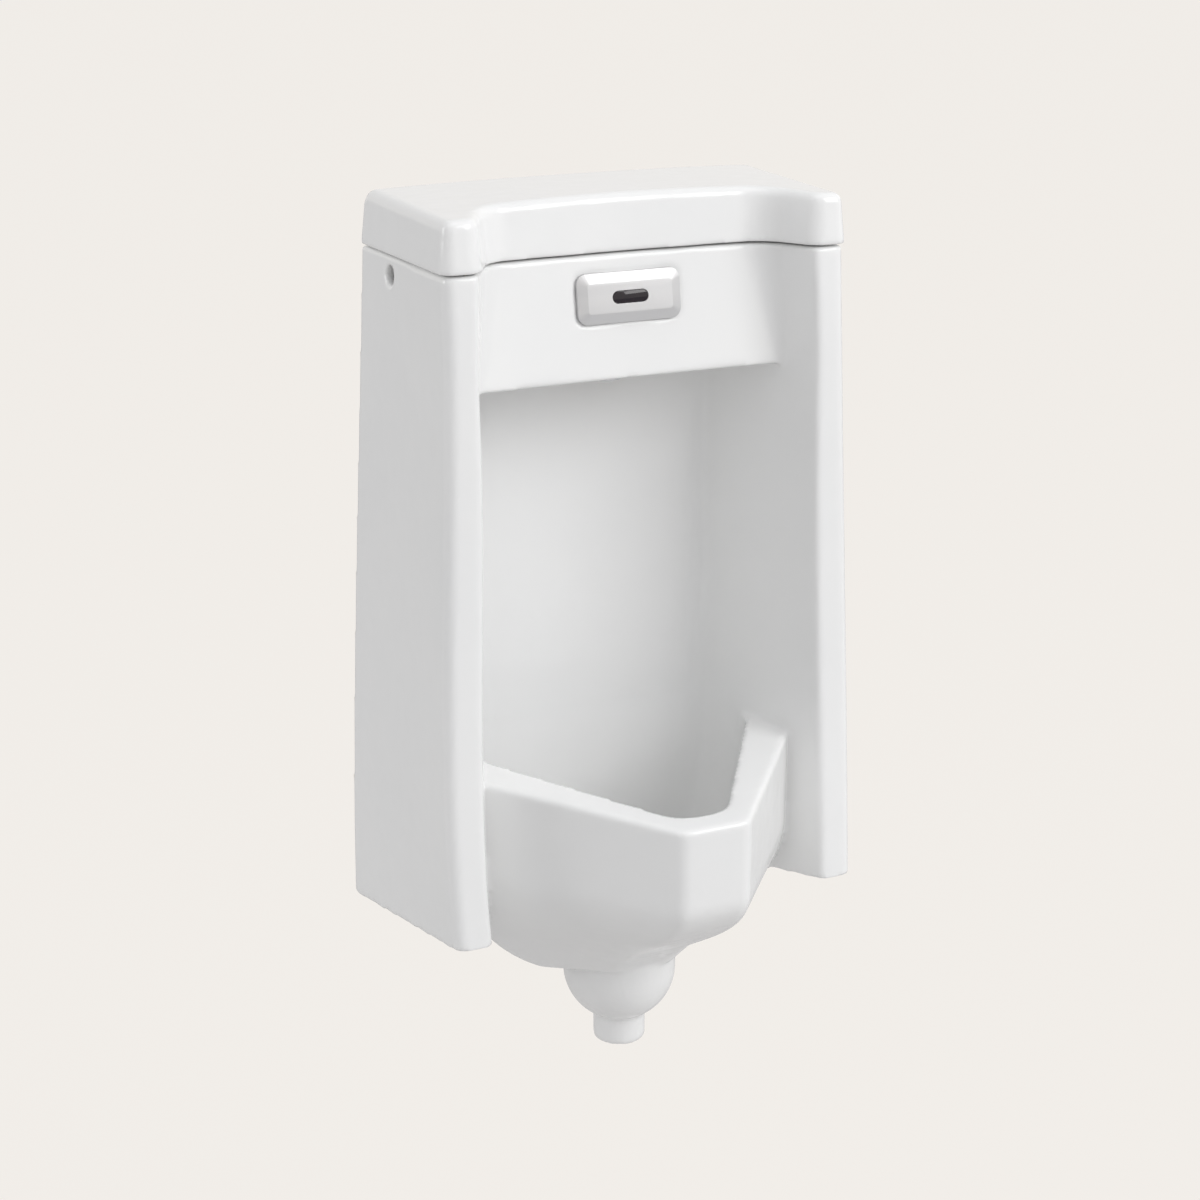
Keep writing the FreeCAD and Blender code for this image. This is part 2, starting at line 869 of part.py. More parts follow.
def drain_cuts():
    """The strainer's ledge, the sump and the outlet bore."""
    where = {"depth": "drain_depth"}
    return [cylinder("ledge_radius", "floor_height - ledge_height + 1", height="ledge_height", **where),
            cylinder("sump_radius", "ledge_height - sump_floor + 1", height="sump_floor", **where),
            cylinder("outlet_bore", "sump_floor + 2", height="-1", **where)]


def wall_cuts():
    """Wall bolt holes, the supply hole and the two side ports."""
    cuts = [cylinder("bush_radius + bush_gap", "2 * rail", across="%s bolt_spacing / 2" % side,
                     depth="1.5 * rail", along="back") for side in ("-", "")]
    cuts.append(cylinder("supply_hole", "2 * rail", across="-supply_across", depth="1.5 * rail",
                         height="line_height", along="back"))
    for start in ("-1.2 * top_back_half", "0.8 * top_back_half"):
        cuts.append(cylinder("port_radius", "0.4 * top_back_half", across=start,
                             depth="port_depth", height="port_height", along="right"))
    cuts.append(cylinder("spud_radius + spud_gap", "3 * wall", depth="spud_depth",
                         height="header_bottom - wall"))
    return cuts


def rim_rise(y):
    """Height of the bowl's rim at a place in front of the wall."""
    slope = math.tan(math.radians(size("rim_slope")))
    return rise(size("rim_height")) + (y + size("lip_depth")) * slope


def on_outer_rim(edge):
    """True for the bowl's rim edges along its two outer flanks."""
    spot = edge.valueAt((edge.FirstParameter + edge.LastParameter) / 2)
    if abs(spot.z - rim_rise(spot.y)) > 0.05:
        return False
    outwards = FreeCAD.Vector(size("lip_depth") - size("flank_depth"),
                              size("lip_half") - size("flank_half"), 0)
    outer = outwards.dot(FreeCAD.Vector(size("flank_half"), -size("flank_depth"), 0))
    inner = outwards.dot(FreeCAD.Vector(*well_corners(size("rim_height"))[-2][:2], 0))
    return outwards.dot(FreeCAD.Vector(abs(spot.x), spot.y, 0)) > (outer + inner) / 2


def on_wing_front(edge):
    """True for the long inner edges at the front of the two wings."""
    spot = edge.valueAt((edge.FirstParameter + edge.LastParameter) / 2)
    tall = edge.BoundBox.ZLength > (size("header_bottom") - size("foot_front")) / 2
    ahead = spot.y < size("wall") / 2 - size("waist_depth")
    return tall and ahead and abs(spot.x) < size("waist_front_half") - size("wall")


def china_body(frame):
    casting = cut(hull(), behind_wall(), splash_recess(), header_front(), foot_plane())
    bowl = cut(fuse(bowl_band(), bowl_belly()), rim_plane())
    casting = fuse(casting, bowl, bulb())
    casting = cut(casting, well(), well_mouth(), hollow(), header_room(),
                  *drain_cuts(), *wall_cuts(), *sensor_cuts(frame))
    casting = soften(casting, size("wing_inner_edge"), on_wing_front)
    return soften(casting, size("rim_edge"), on_outer_rim)


# ---- lid ------------------------------------------------------------------------------------


def lid_corners(gap):
    """The lid's plan, moved inwards by gap from the body's own plan at its top."""
    corners = header_corners(size("top_level"))
    back = -size("lid_back_gap") - size("lid_overhang")
    shaped = [(x, back if y == 0 else y, size("lid_back_corner") if y == 0 else radius)
              for x, y, radius in corners]
    return inset(shaped, gap)


def lid_mouth_corners(gap):
    """The lid's opening underneath, which leaves the two wings solid."""
    half, edge = size("top_back_half"), size("header_corner_high")
    slope = size("header_top_bow") / size("top_inner_half")
    side = -size("header_top_depth") - slope * half
    back = -size("lid_back_gap") - size("lid_overhang")
    right = [(half, back, edge), (half, side, edge)]
    left = [(-x, y, radius) for x, y, radius in right]
    centre = (0, -size("header_top_depth"), size("header_curve"))
    return inset(left + [centre] + right[::-1], gap)


def lid_dome(high):
    """The lid's crowned top, which rises from its front towards the wall."""
    half = size("top_back_half") + size("lid_overhang")
    curve = (half ** 2 + size("lid_crown") ** 2) / (2 * size("lid_crown"))
    dome = doc.addObject("Part::Cylinder", "Dome")
    dome.Radius = curve
    dome.Height = FRONT
    lean = FreeCAD.Rotation(FreeCAD.Vector(1, 0, 0), size("lid_tilt"))
    front = FreeCAD.Placement(FreeCAD.Vector(0, -size("top_depth"), rise(high)), lean)
    start = FreeCAD.Placement(FreeCAD.Vector(0, FRONT / 2, -curve), TURNS["front"])
    dome.Placement = front.multiply(start)
    return dome


def lid_back_roll(peak):
    """All that lies in front of and below the lid's rounded top edge at the wall."""
    radius, back = size("lid_back_round"), -size("lid_back_gap")
    long = 4 * size("top_back_half")
    roll = doc.addObject("Part::Cylinder", "Roll")
    roll.Radius = radius
    roll.Height = long
    middle = FreeCAD.Vector(-long / 2, back - radius, rise(peak) - radius)
    roll.Placement = FreeCAD.Placement(middle, TURNS["right"])
    below = doc.addObject("Part::Box", "Below")
    ahead = doc.addObject("Part::Box", "Ahead")
    below.Length = ahead.Length = long
    below.Width = radius + FRONT
    below.Height = FRONT
    ahead.Width = FRONT
    ahead.Height = FRONT
    corner = FreeCAD.Vector(-long / 2, back - radius - FRONT, rise(peak) - FRONT)
    below.Placement = FreeCAD.Placement(corner - FreeCAD.Vector(0, 0, radius), FreeCAD.Rotation())
    ahead.Placement = FreeCAD.Placement(corner, FreeCAD.Rotation())
    return fuse(below, ahead, roll)


def china_lid():
    low = size("top_level") + size("bumper_thick")
    high = low + size("lid_thick")
    outer = -size("lid_overhang")
    tilt = math.tan(math.radians(size("lid_tilt")))
    peak = high + size("top_depth") * tilt
    shell = loft([(lid_corners(outer), low), (lid_corners(outer + size("lid_draft")), peak)], True)
    crowned = common(shell, lid_dome(high), lid_back_roll(peak))
    top_low = rise(high) - size("lid_crown") - 1
    wing = size("top_front_half") - size("top_inner_half")
    radius = min(size("lid_edge"), size("lid_edge_share") * wing)
    rounded = soften(crowned, radius, lambda edge: edge.BoundBox.ZMin > top_low)
    drop = low - size("lip_drop")
    lip_out = size("wall") + size("lip_gap")
    lip = loft([(lid_corners(lip_out), drop), (lid_corners(lip_out), low + 1)], True)
    mouth = lid_mouth_corners(lip_out + size("lip_thick"))
    ledge = low + size("lip_thick")
    roof = high - size("lid_crown") - size("lid_roof")
    opening = loft([(mouth, drop - 1), (mouth, ledge + 1)], True)
    inner = lid_corners(outer + size("lid_wall"))
    room = loft([(inner, ledge), (inner, roof)], True)
    return cut(fuse(rounded, lip), opening, room)


def lid_bumpers():
    discs = []
    for side in ("-", ""):
        for depth in ("bumper_back", "bumper_front"):
            across = "%s(top_back_half - wall / 2)" % side
            discs.append(cylinder("bumper_radius", "bumper_thick", across=across, depth=depth,
                                  height="top_level"))
    return group(*discs)


# ---- wall bolt bushes -------------------------------------------------------------------------


def hanger_bushes():
    corners = [("bolt_hole", "0"), ("bush_radius", "0"), ("bush_radius", "rail"),
               ("bush_flange", "rail"), ("bush_flange", "rail + bush_flange_thick"),
               ("bolt_hole", "rail + bush_flange_thick")]
    return group(*[turned(corners, across="%s bolt_spacing / 2" % side, along="front")
                   for side in ("-", "")])


# ---- sensor, built on the header's face -----------------------------------------------------


def window_slab(gap, thick, front):
    wide, tall = size("window_wide") + 2 * gap, size("window_tall") + 2 * gap
    return slab(wide, tall, thick, tall / 2 - 0.05, front, frame)


def sensor_gasket():
    edge = 2 * size("gasket_edge")
    thick = size("gasket_thick")
    wide, tall = size("plate_wide") - edge, size("plate_tall") - edge
    sheet_part = slab(wide, tall, thick, size("plate_corner"), -thick, frame)
    opening = slab(size("eye_wide") + 2 * size("eye_gap"), size("eye_tall") + 2 * size("eye_gap"),
                   thick * 3, size("eye_gap") + 1, -thick * 2, frame)
    holes = pair(lambda across: rod("stud_radius + stud_gap", "3 * gasket_thick", across,
                                    -thick * 2, frame), size("stud_space"))
    return cut(sheet_part, opening, *holes)


def sensor_plate():
    """A plate whose border slopes up to a flat middle."""
    front = -size("gasket_thick") - size("plate_thick")
    wide, tall, drop = size("plate_wide"), size("plate_tall"), size("plate_bevel")
    slope = 2 * size("plate_bevel_wide")
    middle = tile(wide - slope, tall - slope, size("plate_face_corner"))
    border = tile(wide, tall, size("plate_corner"), drop)
    raised = on_face(Part.makeLoft([middle, border], True, True), front, frame)
    base = slab(wide, tall, size("plate_thick") - drop, size("plate_corner"), front + drop, frame)
    sockets = pair(lambda across: rod("stud_radius", "stud_grip + 1", across,
                                      -size("gasket_thick") - size("stud_grip"), frame),
                   size("stud_space"))
    opening = window_slab(size("window_gap"), size("plate_thick") * 2, front - 1)
    return cut(fuse(base, raised), opening, *sockets)


def sensor_window():
    front = size("window_sink") - size("gasket_thick") - size("plate_thick")
    return window_slab(0, size("window_thick"), front)


def sensor_housing():
    start = -size("gasket_thick")
    wall = size("eye_wall")
    case = slab(size("eye_wide"), size("eye_tall"), size("eye_deep") - start, 2 * wall, start,
                frame)
    room = slab(size("eye_wide") - 2 * wall, size("eye_tall") - 2 * wall,
                size("eye_deep") - wall - start + 1, wall, start - 1, frame)
    return cut(case, room)


def sensor_board():
    wall = size("eye_wall") * 2
    return slab(size("eye_wide") - wall, size("eye_tall") - wall, size("board_thick"),
                size("eye_wall"), size("board_depth"), frame)


def ir_diodes():
    front = size("board_depth") - 3 * size("diode_radius")
    return group(*pair(lambda across: rod("diode_radius", "3 * diode_radius", across, front, frame),
                       size("diode_space")))


def sensor_studs():
    start = -size("gasket_thick") - size("stud_grip")
    return group(*pair(lambda across: rod("stud_radius", "stud_length", across, start, frame),
                       size("stud_space")))


def bracket_seat():
    """How far in a flat bar behind the header's wall first touches it."""
    clear = 2 * size("wall")
    bar = slab(size("bracket_wide"), size("bracket_tall"), size("bracket_thick"), 3, clear, frame)
    doc.recompute()
    return clear - bar.Shape.distToShape(china.Shape)[0]


def sensor_bracket():
    front = bracket_front
    thick = size("bracket_thick")
    bar = slab(size("bracket_wide"), size("bracket_tall"), thick, 3, front, frame)
    opening = slab(size("eye_wide") + size("eye_gap"), size("eye_tall") + size("eye_gap"),
                   3 * thick, 2 * size("eye_wall"), front - thick, frame)
    holes = pair(lambda across: rod("stud_radius + stud_gap", "3 * bracket_thick", across,
                                    front - thick, frame), size("stud_space"))
    return cut(bar, opening, *holes)


def sensor_nuts():
    front = bracket_front + size("bracket_thick")
    nuts = []
    for side in (-1, 1):
        across = side * size("stud_space") / 2
        start = FreeCAD.Placement(FreeCAD.Vector(across, front, 0), TURNS["back"])
        nut = freely(hexagon("nut_half", "nut_thick"), frame.multiply(start))
        nuts.append(cut(nut, rod("stud_radius", "3 * nut_thick", across, front - 1, frame)))
    return group(*nuts)


# ---- supply and stop valve --------------------------------------------------------------------

LINE = {"depth": "line_depth", "height": "line_height"}
STOP_START = "-supply_across + elbow_reach + washer_thick"
STOP_MIDDLE = "%s + stop_length / 2" % STOP_START
VALVE_START = "%s + stop_length" % STOP_START
VALVE_MIDDLE = "%s + valve_size / 2" % VALVE_START
VALVE_FRONT = "line_depth + valve_deep / 2 + 1"


def inlet_elbow():
    supply = {"across": "-supply_across", "height": "line_height", "along": "front"}
    thread = cylinder("thread_radius", "thread_length", depth="thread_end", **supply)
    stub = cylinder("elbow_radius", "line_depth - thread_end - thread_length",
                    depth="thread_end + thread_length", **supply)
    knee = ball("elbow_radius", across="-supply_across", **LINE)
    arm = cylinder("elbow_radius", "elbow_reach", across="-supply_across", along="right", **LINE)
    bore = cylinder("line_bore", "line_depth", depth="0", **supply)
    turn = ball("line_bore", across="-supply_across", **LINE)
    out = cylinder("line_bore", "elbow_reach + 1", across="-supply_across", along="right", **LINE)
    return cut(fuse(thread, stub, knee, arm), fuse(bore, turn, out))


def inlet_washer():
    start = "-supply_across + elbow_reach"
    return cut(cylinder("elbow_radius", "washer_thick", across=start, along="right", **LINE),
               cylinder("line_bore", "3 * washer_thick", across="%s - washer_thick" % start,
                        along="right", **LINE))


def stop_valve_body():
    body = cylinder("stop_radius", "stop_length", across=STOP_START, along="right", **LINE)
    boss = cylinder("boss_radius", "boss_top", across=STOP_MIDDLE, **LINE)
    bore = cylinder("line_bore", "stop_length + 2", across="%s - 1" % STOP_START, along="right",
                    **LINE)
    room = ball("ball_radius + ball_gap", across=STOP_MIDDLE, **LINE)
    stem_way = cylinder("stem_radius + stem_gap", "boss_top + 1", across=STOP_MIDDLE, **LINE)
    seal_room = cylinder("stem_radius + stem_gap + seal_thick", "seal_thick + 1",
                         across=STOP_MIDDLE, depth="line_depth",
                         height="line_height + boss_top - seal_thick")
    return cut(fuse(body, boss), bore, room, stem_way, seal_room)


def stop_valve_ball():
    sphere = ball("ball_radius", across=STOP_MIDDLE, **LINE)
    bore = cylinder("line_bore", "3 * ball_radius", across="%s - 1.5 * ball_radius" % STOP_MIDDLE,
                    along="right", **LINE)
    top = block("3 * ball_radius", "3 * ball_radius", "ball_radius", STOP_MIDDLE,
                "line_depth + 1.5 * ball_radius", "line_height + ball_flat")
    return cut(sphere, bore, top)


def stop_valve_stem():
    rod_part = cylinder("stem_radius", "stem_top - ball_flat", across=STOP_MIDDLE,
                        depth="line_depth", height="line_height + ball_flat")
    slot = block("3 * stem_radius", "stem_slot", "2 * stem_slot", STOP_MIDDLE,
                 "line_depth + stem_slot / 2", "line_height + stem_top - 1.5 * stem_slot")
    return cut(rod_part, slot)


def stem_seal():
    return ring("stem_radius + stem_gap + seal_thick / 2", "seal_thick / 2 - seal_gap",
                across=STOP_MIDDLE, depth="line_depth",
                height="line_height + boss_top - seal_thick / 2")


def filter_screen():
    start = VALVE_START
    basket = cut(fuse(cylinder("screen_radius", "screen_length", across=start, along="right",
                               **LINE),
                      cylinder("line_bore", "screen_wall", across=start, along="right", **LINE)),
                 cylinder("screen_radius - screen_wall", "screen_length", along="right",
                          across="%s - screen_wall" % start, **LINE))
    holes = []
    for row in range(3):
        for turn in range(6):
            spin = FreeCAD.Rotation(FreeCAD.Vector(1, 0, 0), 60 * turn + 30 * (row % 2))
            step = size("screen_length") / 4
            spot = FreeCAD.Vector(worth(start) + step * (row + 1), -size("line_depth"),
                                  rise(size("line_height")))
            holes.append(freely(cylinder("screen_hole", "2 * screen_radius"),
                                FreeCAD.Placement(spot, spin)))
    return cut(basket, *holes)


# ---- flush valve ------------------------------------------------------------------------------

FRONTWARDS = {"across": VALVE_MIDDLE, "height": "line_height", "along": "front"}


def square_plate(thick, depth):
    """A square with bevelled corners, from depth forward by thick."""
    half, edge = "valve_size / 2", "valve_edge"
    corners = [("%s - %s" % (half, edge), half), (half, "%s - %s" % (half, edge)),
               (half, "-(%s - %s)" % (half, edge)), ("%s - %s" % (half, edge), "-%s" % half),
               ("-(%s - %s)" % (half, edge), "-%s" % half), ("-%s" % half, "-(%s - %s)" % (half, edge)),
               ("-%s" % half, "%s - %s" % (half, edge)), ("-(%s - %s)" % (half, edge), half)]
    return padded(corners, thick, depth=depth, **FRONTWARDS)


def screw_spots():
    """Sheet places of the four bonnet screws."""
    return [("%s %s screw_space / 2" % (VALVE_MIDDLE, a), "line_height %s screw_space / 2" % b)
            for a in "+-" for b in "+-"]


def valve_body():
    block_part = square_plate("valve_deep", "%s - valve_deep" % VALVE_FRONT)
    recess = cylinder("membrane_radius + pipe_gap", "membrane_thick + 1",
                      depth="%s - membrane_thick" % VALVE_FRONT, **FRONTWARDS)
    chamber = cylinder("chamber_radius", "chamber_deep + 1",
                       depth="%s - membrane_thick - chamber_deep" % VALVE_FRONT, **FRONTWARDS)
    seat = cylinder("seat_radius", "seat_rise + 1",
                    depth="%s - membrane_thick - chamber_deep - 1" % VALVE_FRONT, **FRONTWARDS)
    inlet = cylinder("line_bore", "screen_length + 2 * screen_wall", across="%s - screen_wall"
                     % VALVE_START, along="right", **LINE)
    riser = cylinder("port_bore", "valve_deep / 2", depth="line_depth",
                     across="%s - port_across" % VALVE_MIDDLE, height="line_height",
                     along="front")
    outlet = cylinder("seat_bore", "valve_size / 2 + 1", across=VALVE_MIDDLE, along="right",
                      **LINE)
    entry = cylinder("pipe_radius + pipe_gap", "pipe_entry + 1", along="right",
                     across="%s + valve_size / 2 - pipe_entry" % VALVE_MIDDLE, **LINE)
    throat = cylinder("seat_bore", "valve_deep", depth="line_depth", **FRONTWARDS)
    screws = [cylinder("screw_radius", "screw_deep + 1", across=a, height=b, along="front",
                       depth="%s - screw_deep + bonnet_thick" % VALVE_FRONT)
              for a, b in screw_spots()]
    hollowed = cut(block_part, recess, chamber)
    return cut(fuse(hollowed, seat), inlet, riser, outlet, entry, throat, *screws)


def membrane_tools():
    start = "%s - membrane_thick" % VALVE_FRONT
    disc = cylinder("membrane_radius", "membrane_thick", depth=start, **FRONTWARDS)
    hole = cylinder("core_radius + core_gap", "3 * membrane_thick",
                    depth="%s - membrane_thick" % start, **FRONTWARDS)
    return disc, hole


def diaphragm():
    return cut(*membrane_tools())


def diaphragm_core():
    length = "membrane_thick + chamber_deep - seat_rise - seat_clear"
    body = cylinder("core_radius", length, depth="%s - (%s)" % (VALVE_FRONT, length), **FRONTWARDS)
    pilot = cylinder("port_bore / 3", "3 * chamber_deep", depth="%s - 2 * chamber_deep"
                     % VALVE_FRONT, **FRONTWARDS)
    return cut(body, pilot)


def valve_bonnet():
    plate = square_plate("bonnet_thick", VALVE_FRONT)
    guide = cylinder("guide_radius", "bonnet_thick + guide_length", depth=VALVE_FRONT,
                     **FRONTWARDS)
    room = cylinder("bonnet_room", "bonnet_room_deep + 1", depth="%s - 1" % VALVE_FRONT,
                    **FRONTWARDS)
    bore = cylinder("plunger_radius + plunger_gap", "bonnet_thick + guide_length - guide_end",
                    depth=VALVE_FRONT, **FRONTWARDS)
    screws = [cylinder("screw_radius + pipe_gap", "2 * bonnet_thick", across=a, height=b,
                       along="front", depth="%s - bonnet_thick / 2" % VALVE_FRONT)
              for a, b in screw_spots()]
    return cut(fuse(plate, guide), room, bore, *screws)


def bonnet_screws():
    screws = []
    for across, height in screw_spots():
        shank = cylinder("screw_radius", "screw_deep", across=across, height=height,
                         along="front", depth="%s - screw_deep + bonnet_thick" % VALVE_FRONT)
        head = cylinder("screw_head", "screw_head_tall", across=across, height=height,
                        along="front", depth="%s + bonnet_thick" % VALVE_FRONT)
        slot = block("3 * screw_head", "screw_head_tall", "screw_head / 4", across,
                     "%s + bonnet_thick + 1.5 * screw_head_tall" % VALVE_FRONT,
                     "%s - screw_head / 8" % height)
        screws.append(cut(fuse(shank, head), slot))
    return group(*screws)


PLUNGER_BACK = "%s + plunger_rise" % VALVE_FRONT


def plunger():
    return cylinder("plunger_radius", "plunger_length", depth=PLUNGER_BACK, **FRONTWARDS)


def spring_ring(angle):
    """The wire's eight-sided section at a turn of the spring."""
    radius, climb = size("spring_radius"), size("spring_pitch") / (2 * math.pi)
    centre = FreeCAD.Vector(radius * math.cos(angle), radius * math.sin(angle), climb * angle)
    along = FreeCAD.Vector(-radius * math.sin(angle), radius * math.cos(angle), climb).normalize()
    out = FreeCAD.Vector(math.cos(angle), math.sin(angle), 0) * (size("spring_wire") / 2)
    up = along.cross(out)
    corners = [centre + out * math.cos(turn) + up * math.sin(turn)
               for turn in [math.pi / 4 * index for index in range(8)]]
    return Part.makePolygon(corners + corners[:1])


def plunger_spring():
    """A compression spring from the plunger's end to the end of its guide."""
    start = worth(PLUNGER_BACK) + size("plunger_length")
    end = worth(VALVE_FRONT) + size("bonnet_thick") + size("guide_length") - size("guide_end")
    thick = size("spring_wire") + 2 * size("plunger_gap")
    turned_by = 2 * math.pi * (end - start - thick) / size("spring_pitch")
    count = round(turned_by / (math.pi / 6))
    rings = [spring_ring(turned_by * index / count) for index in range(count + 1)]
    thing = blank(Part.makeLoft(rings, True, True))
    thing.Placement = FreeCAD.Placement(
        FreeCAD.Vector(worth(VALVE_MIDDLE), -start - thick / 2, rise(size("line_height"))),
        TURNS["front"])
    return thing


COIL_BACK = "%s + bonnet_thick" % VALVE_FRONT


def coil():
    return cut(cylinder("coil_radius", "coil_length", depth=COIL_BACK, **FRONTWARDS),
               cylinder("guide_radius + coil_gap", "3 * coil_length",
                        depth="%s - coil_length" % COIL_BACK, **FRONTWARDS))


def coil_nut():
    start = "%s + coil_length" % COIL_BACK
    return cut(hexagon("coil_nut_radius", "coil_nut_thick", depth=start, **FRONTWARDS),
               cylinder("guide_radius + coil_gap / 2", "3 * coil_nut_thick",
                        depth="%s - coil_nut_thick" % start, **FRONTWARDS))


# ---- outlet pipe, spud and spreader -------------------------------------------------------------


def routed(points, bends):
    """Straight runs joined by tangent arcs."""
    edges = []
    last = points[0]
    for index in range(1, len(points) - 1):
        here = points[index]
        inward = (here - points[index - 1]).normalize()
        outward = (points[index + 1] - here).normalize()
        half = inward.getAngle(outward) / 2
        reach = bends[index - 1] * math.tan(half)
        start, end = here - inward * reach, here + outward * reach
        middle = here + (outward - inward).normalize() * bends[index - 1] * (1 / math.cos(half) - 1)
        edges.append(Part.LineSegment(last, start).toShape())
        edges.append(Part.Arc(start, middle, end).toShape())
        last = end
    edges.append(Part.LineSegment(last, points[-1]).toShape())
    return Part.Wire(edges)


def swept(path, radius):
    start = path.Edges[0]
    section = Part.Wire(Part.makeCircle(radius, start.valueAt(start.FirstParameter),
                                        start.tangentAt(start.FirstParameter)))
    return path.makePipeShell([section], True, False)


def spot(across, depth, height):
    return FreeCAD.Vector(worth(across), -worth(depth), rise(worth(height)))


PIPE_START = "%s + valve_size / 2 - pipe_entry" % VALVE_MIDDLE


def outlet_pipe():
    points = [spot(PIPE_START, "line_depth", "line_height"), spot("0", "line_depth", "line_height"),
              spot("0", "spud_depth", "line_height"),
              spot("0", "spud_depth", "spud_top - pipe_entry")]
    path = routed(points, [size("pipe_bend")] * 2)
    outer = swept(path, size("pipe_radius"))
    inner = swept(path, size("pipe_radius") - size("pipe_wall"))
    return cut(blank(outer), blank(inner))


def pipe_nuts():
    bore, half, length = "pipe_radius + pipe_gap", "pipe_nut_half", "pipe_nut_length"
    start = "%s + valve_size / 2" % VALVE_MIDDLE
    side = cut(hexagon(half, length, across=start, along="right", **LINE),
               cylinder(bore, "3 * %s" % length, along="right",
                        across="%s - %s" % (start, length), **LINE))
    below = cut(hexagon(half, "%s / 2" % length, depth="spud_depth", height="spud_top"),
                cylinder(bore, "3 * %s" % length, depth="spud_depth",
                         height="spud_top - %s" % length))
    return group(side, below)


SPUD_BORE = "pipe_radius + pipe_gap"
SPUD_FOOT = "header_bottom - spud_seal_thick - spud_flange_thick"


def spud():
    rise_to = "spud_top - (%s)" % SPUD_FOOT
    corners = [(SPUD_BORE, "0"), ("spud_flange", "0"), ("spud_flange", "spud_flange_thick"),
               ("spud_radius", "spud_flange_thick"), ("spud_radius", rise_to),
               (SPUD_BORE, rise_to)]
    return turned(corners, depth="spud_depth", height=SPUD_FOOT)


def spud_seal():
    where = {"depth": "spud_depth"}
    return cut(cylinder("spud_flange", "spud_seal_thick", height="header_bottom - spud_seal_thick",
                        **where),
               cylinder("spud_radius + pipe_gap", "3 * spud_seal_thick",
                        height="header_bottom - 2 * spud_seal_thick", **where))


def spud_nut():
    start = "header_bottom + wall"
    return cut(hexagon("spud_nut_half", "spud_nut_thick", depth="spud_depth", height=start),
               cylinder("spud_radius", "3 * spud_nut_thick", depth="spud_depth",
                        height="%s - spud_nut_thick" % start))


def spreader():
    """A disc that throws the water back and sideways over the splash wall."""
    low = "%s - spreader_thick" % SPUD_FOOT
    disc = cylinder("spreader_radius", "spreader_thick", depth="spud_depth", height=low)
    well_part = cylinder(SPUD_BORE, "spreader_thick", depth="spud_depth",
                         height="%s + spreader_slot" % low)
    slots = []
    for angle in (30, 60, 90, 120, 150):
        slot = block("spreader_slot", "spreader_radius + 2", "spreader_slot", "0", "0", "0")
        turn = FreeCAD.Rotation(FreeCAD.Vector(0, 0, 1), angle - 90)
        half = FreeCAD.Vector(-size("spreader_slot") / 2, 0, 0)
        middle = spot("0", "spud_depth", "%s + spreader_thick / 2" % low)
        slots.append(freely(slot, FreeCAD.Placement(middle + turn.multVec(half), turn)))
    return cut(disc, well_part, *slots)


# ---- batteries --------------------------------------------------------------------------------

BOX_FLOOR = "header_bottom + wall + pad_thick"
CELL_PITCH = "2 * cell_radius + cell_gap"
BOX_LONG = "cell_length + 2 * contact_room + 2 * box_wall"
BOX_DEEP = "2 * (%s) + cell_gap + 2 * box_wall" % CELL_PITCH
BOX_TALL = "2 * (%s) + cell_gap + box_wall" % CELL_PITCH
BOX_MIDDLE = "box_across + (%s) / 2" % BOX_LONG


def battery_pad():
    return block(BOX_LONG, BOX_DEEP, "pad_thick", BOX_MIDDLE, "box_depth + %s" % BOX_DEEP,
                 "header_bottom + wall")


def battery_box():
    case = block(BOX_LONG, BOX_DEEP, BOX_TALL, BOX_MIDDLE, "box_depth + %s" % BOX_DEEP, BOX_FLOOR)
    room = block("%s - 2 * box_wall" % BOX_LONG, "%s - 2 * box_wall" % BOX_DEEP, BOX_TALL,
                 BOX_MIDDLE, "box_depth + %s - box_wall" % BOX_DEEP, "%s + box_wall" % BOX_FLOOR)
    return cut(case, room)


def battery_cells():
    cells = []
    for row in (0, 1):
        for layer in (0, 1):
            depth = "box_depth + box_wall + cell_gap + cell_radius + %d * (%s)" % (row, CELL_PITCH)
            height = "%s + box_wall + cell_gap + cell_radius + %d * (%s)" % (BOX_FLOOR, layer,
                                                                         CELL_PITCH)
            cells.append(cylinder("cell_radius", "cell_length", depth=depth, height=height,
                                  across="box_across + box_wall + contact_room", along="right"))
    return group(*cells)


def battery_contacts():
    inner = "%s - 2 * box_wall - 2 * cell_gap" % BOX_DEEP
    tall = "%s - box_wall - 2 * cell_gap" % BOX_TALL
    ends = ("box_across + box_wall + contact_thick / 2",
            "box_across + %s - box_wall - contact_thick / 2" % BOX_LONG)
    return group(*[block("contact_thick", inner, tall, across,
                         "box_depth + %s - box_wall - cell_gap" % BOX_DEEP,
                         "%s + box_wall" % BOX_FLOOR) for across in ends])


def battery_seal():
    low = "%s + %s" % (BOX_FLOOR, BOX_TALL)
    front = "box_depth + %s" % BOX_DEEP
    return cut(block(BOX_LONG, BOX_DEEP, "box_seal_thick", BOX_MIDDLE, front, low),
               block("%s - 2 * box_wall" % BOX_LONG, "%s - 2 * box_wall" % BOX_DEEP,
                     "3 * box_seal_thick", BOX_MIDDLE, "%s - box_wall" % front,
                     "%s - box_seal_thick" % low))


def battery_cover():
    low = "%s + %s + box_seal_thick" % (BOX_FLOOR, BOX_TALL)
    front = "box_depth + %s" % BOX_DEEP
    return block(BOX_LONG, BOX_DEEP, "cover_thick", BOX_MIDDLE, front, low)


# ---- leads --------------------------------------------------------------------------------------


def lead(points, name):
    """A lead along straight runs joined by arcs as large as its runs allow."""
    bends = []
    for index in range(1, len(points) - 1):
        before = (points[index] - points[index - 1])
        after = (points[index + 1] - points[index])
        half = before.getAngle(after) / 2
        bends.append(0.45 * min(before.Length, after.Length) / math.tan(half))
    path = routed(points, bends)
    print(name, "bend radii", [round(bend, 1) for bend in bends], "length", round(path.Length, 1))
    return blank(swept(path, size("lead_radius")))


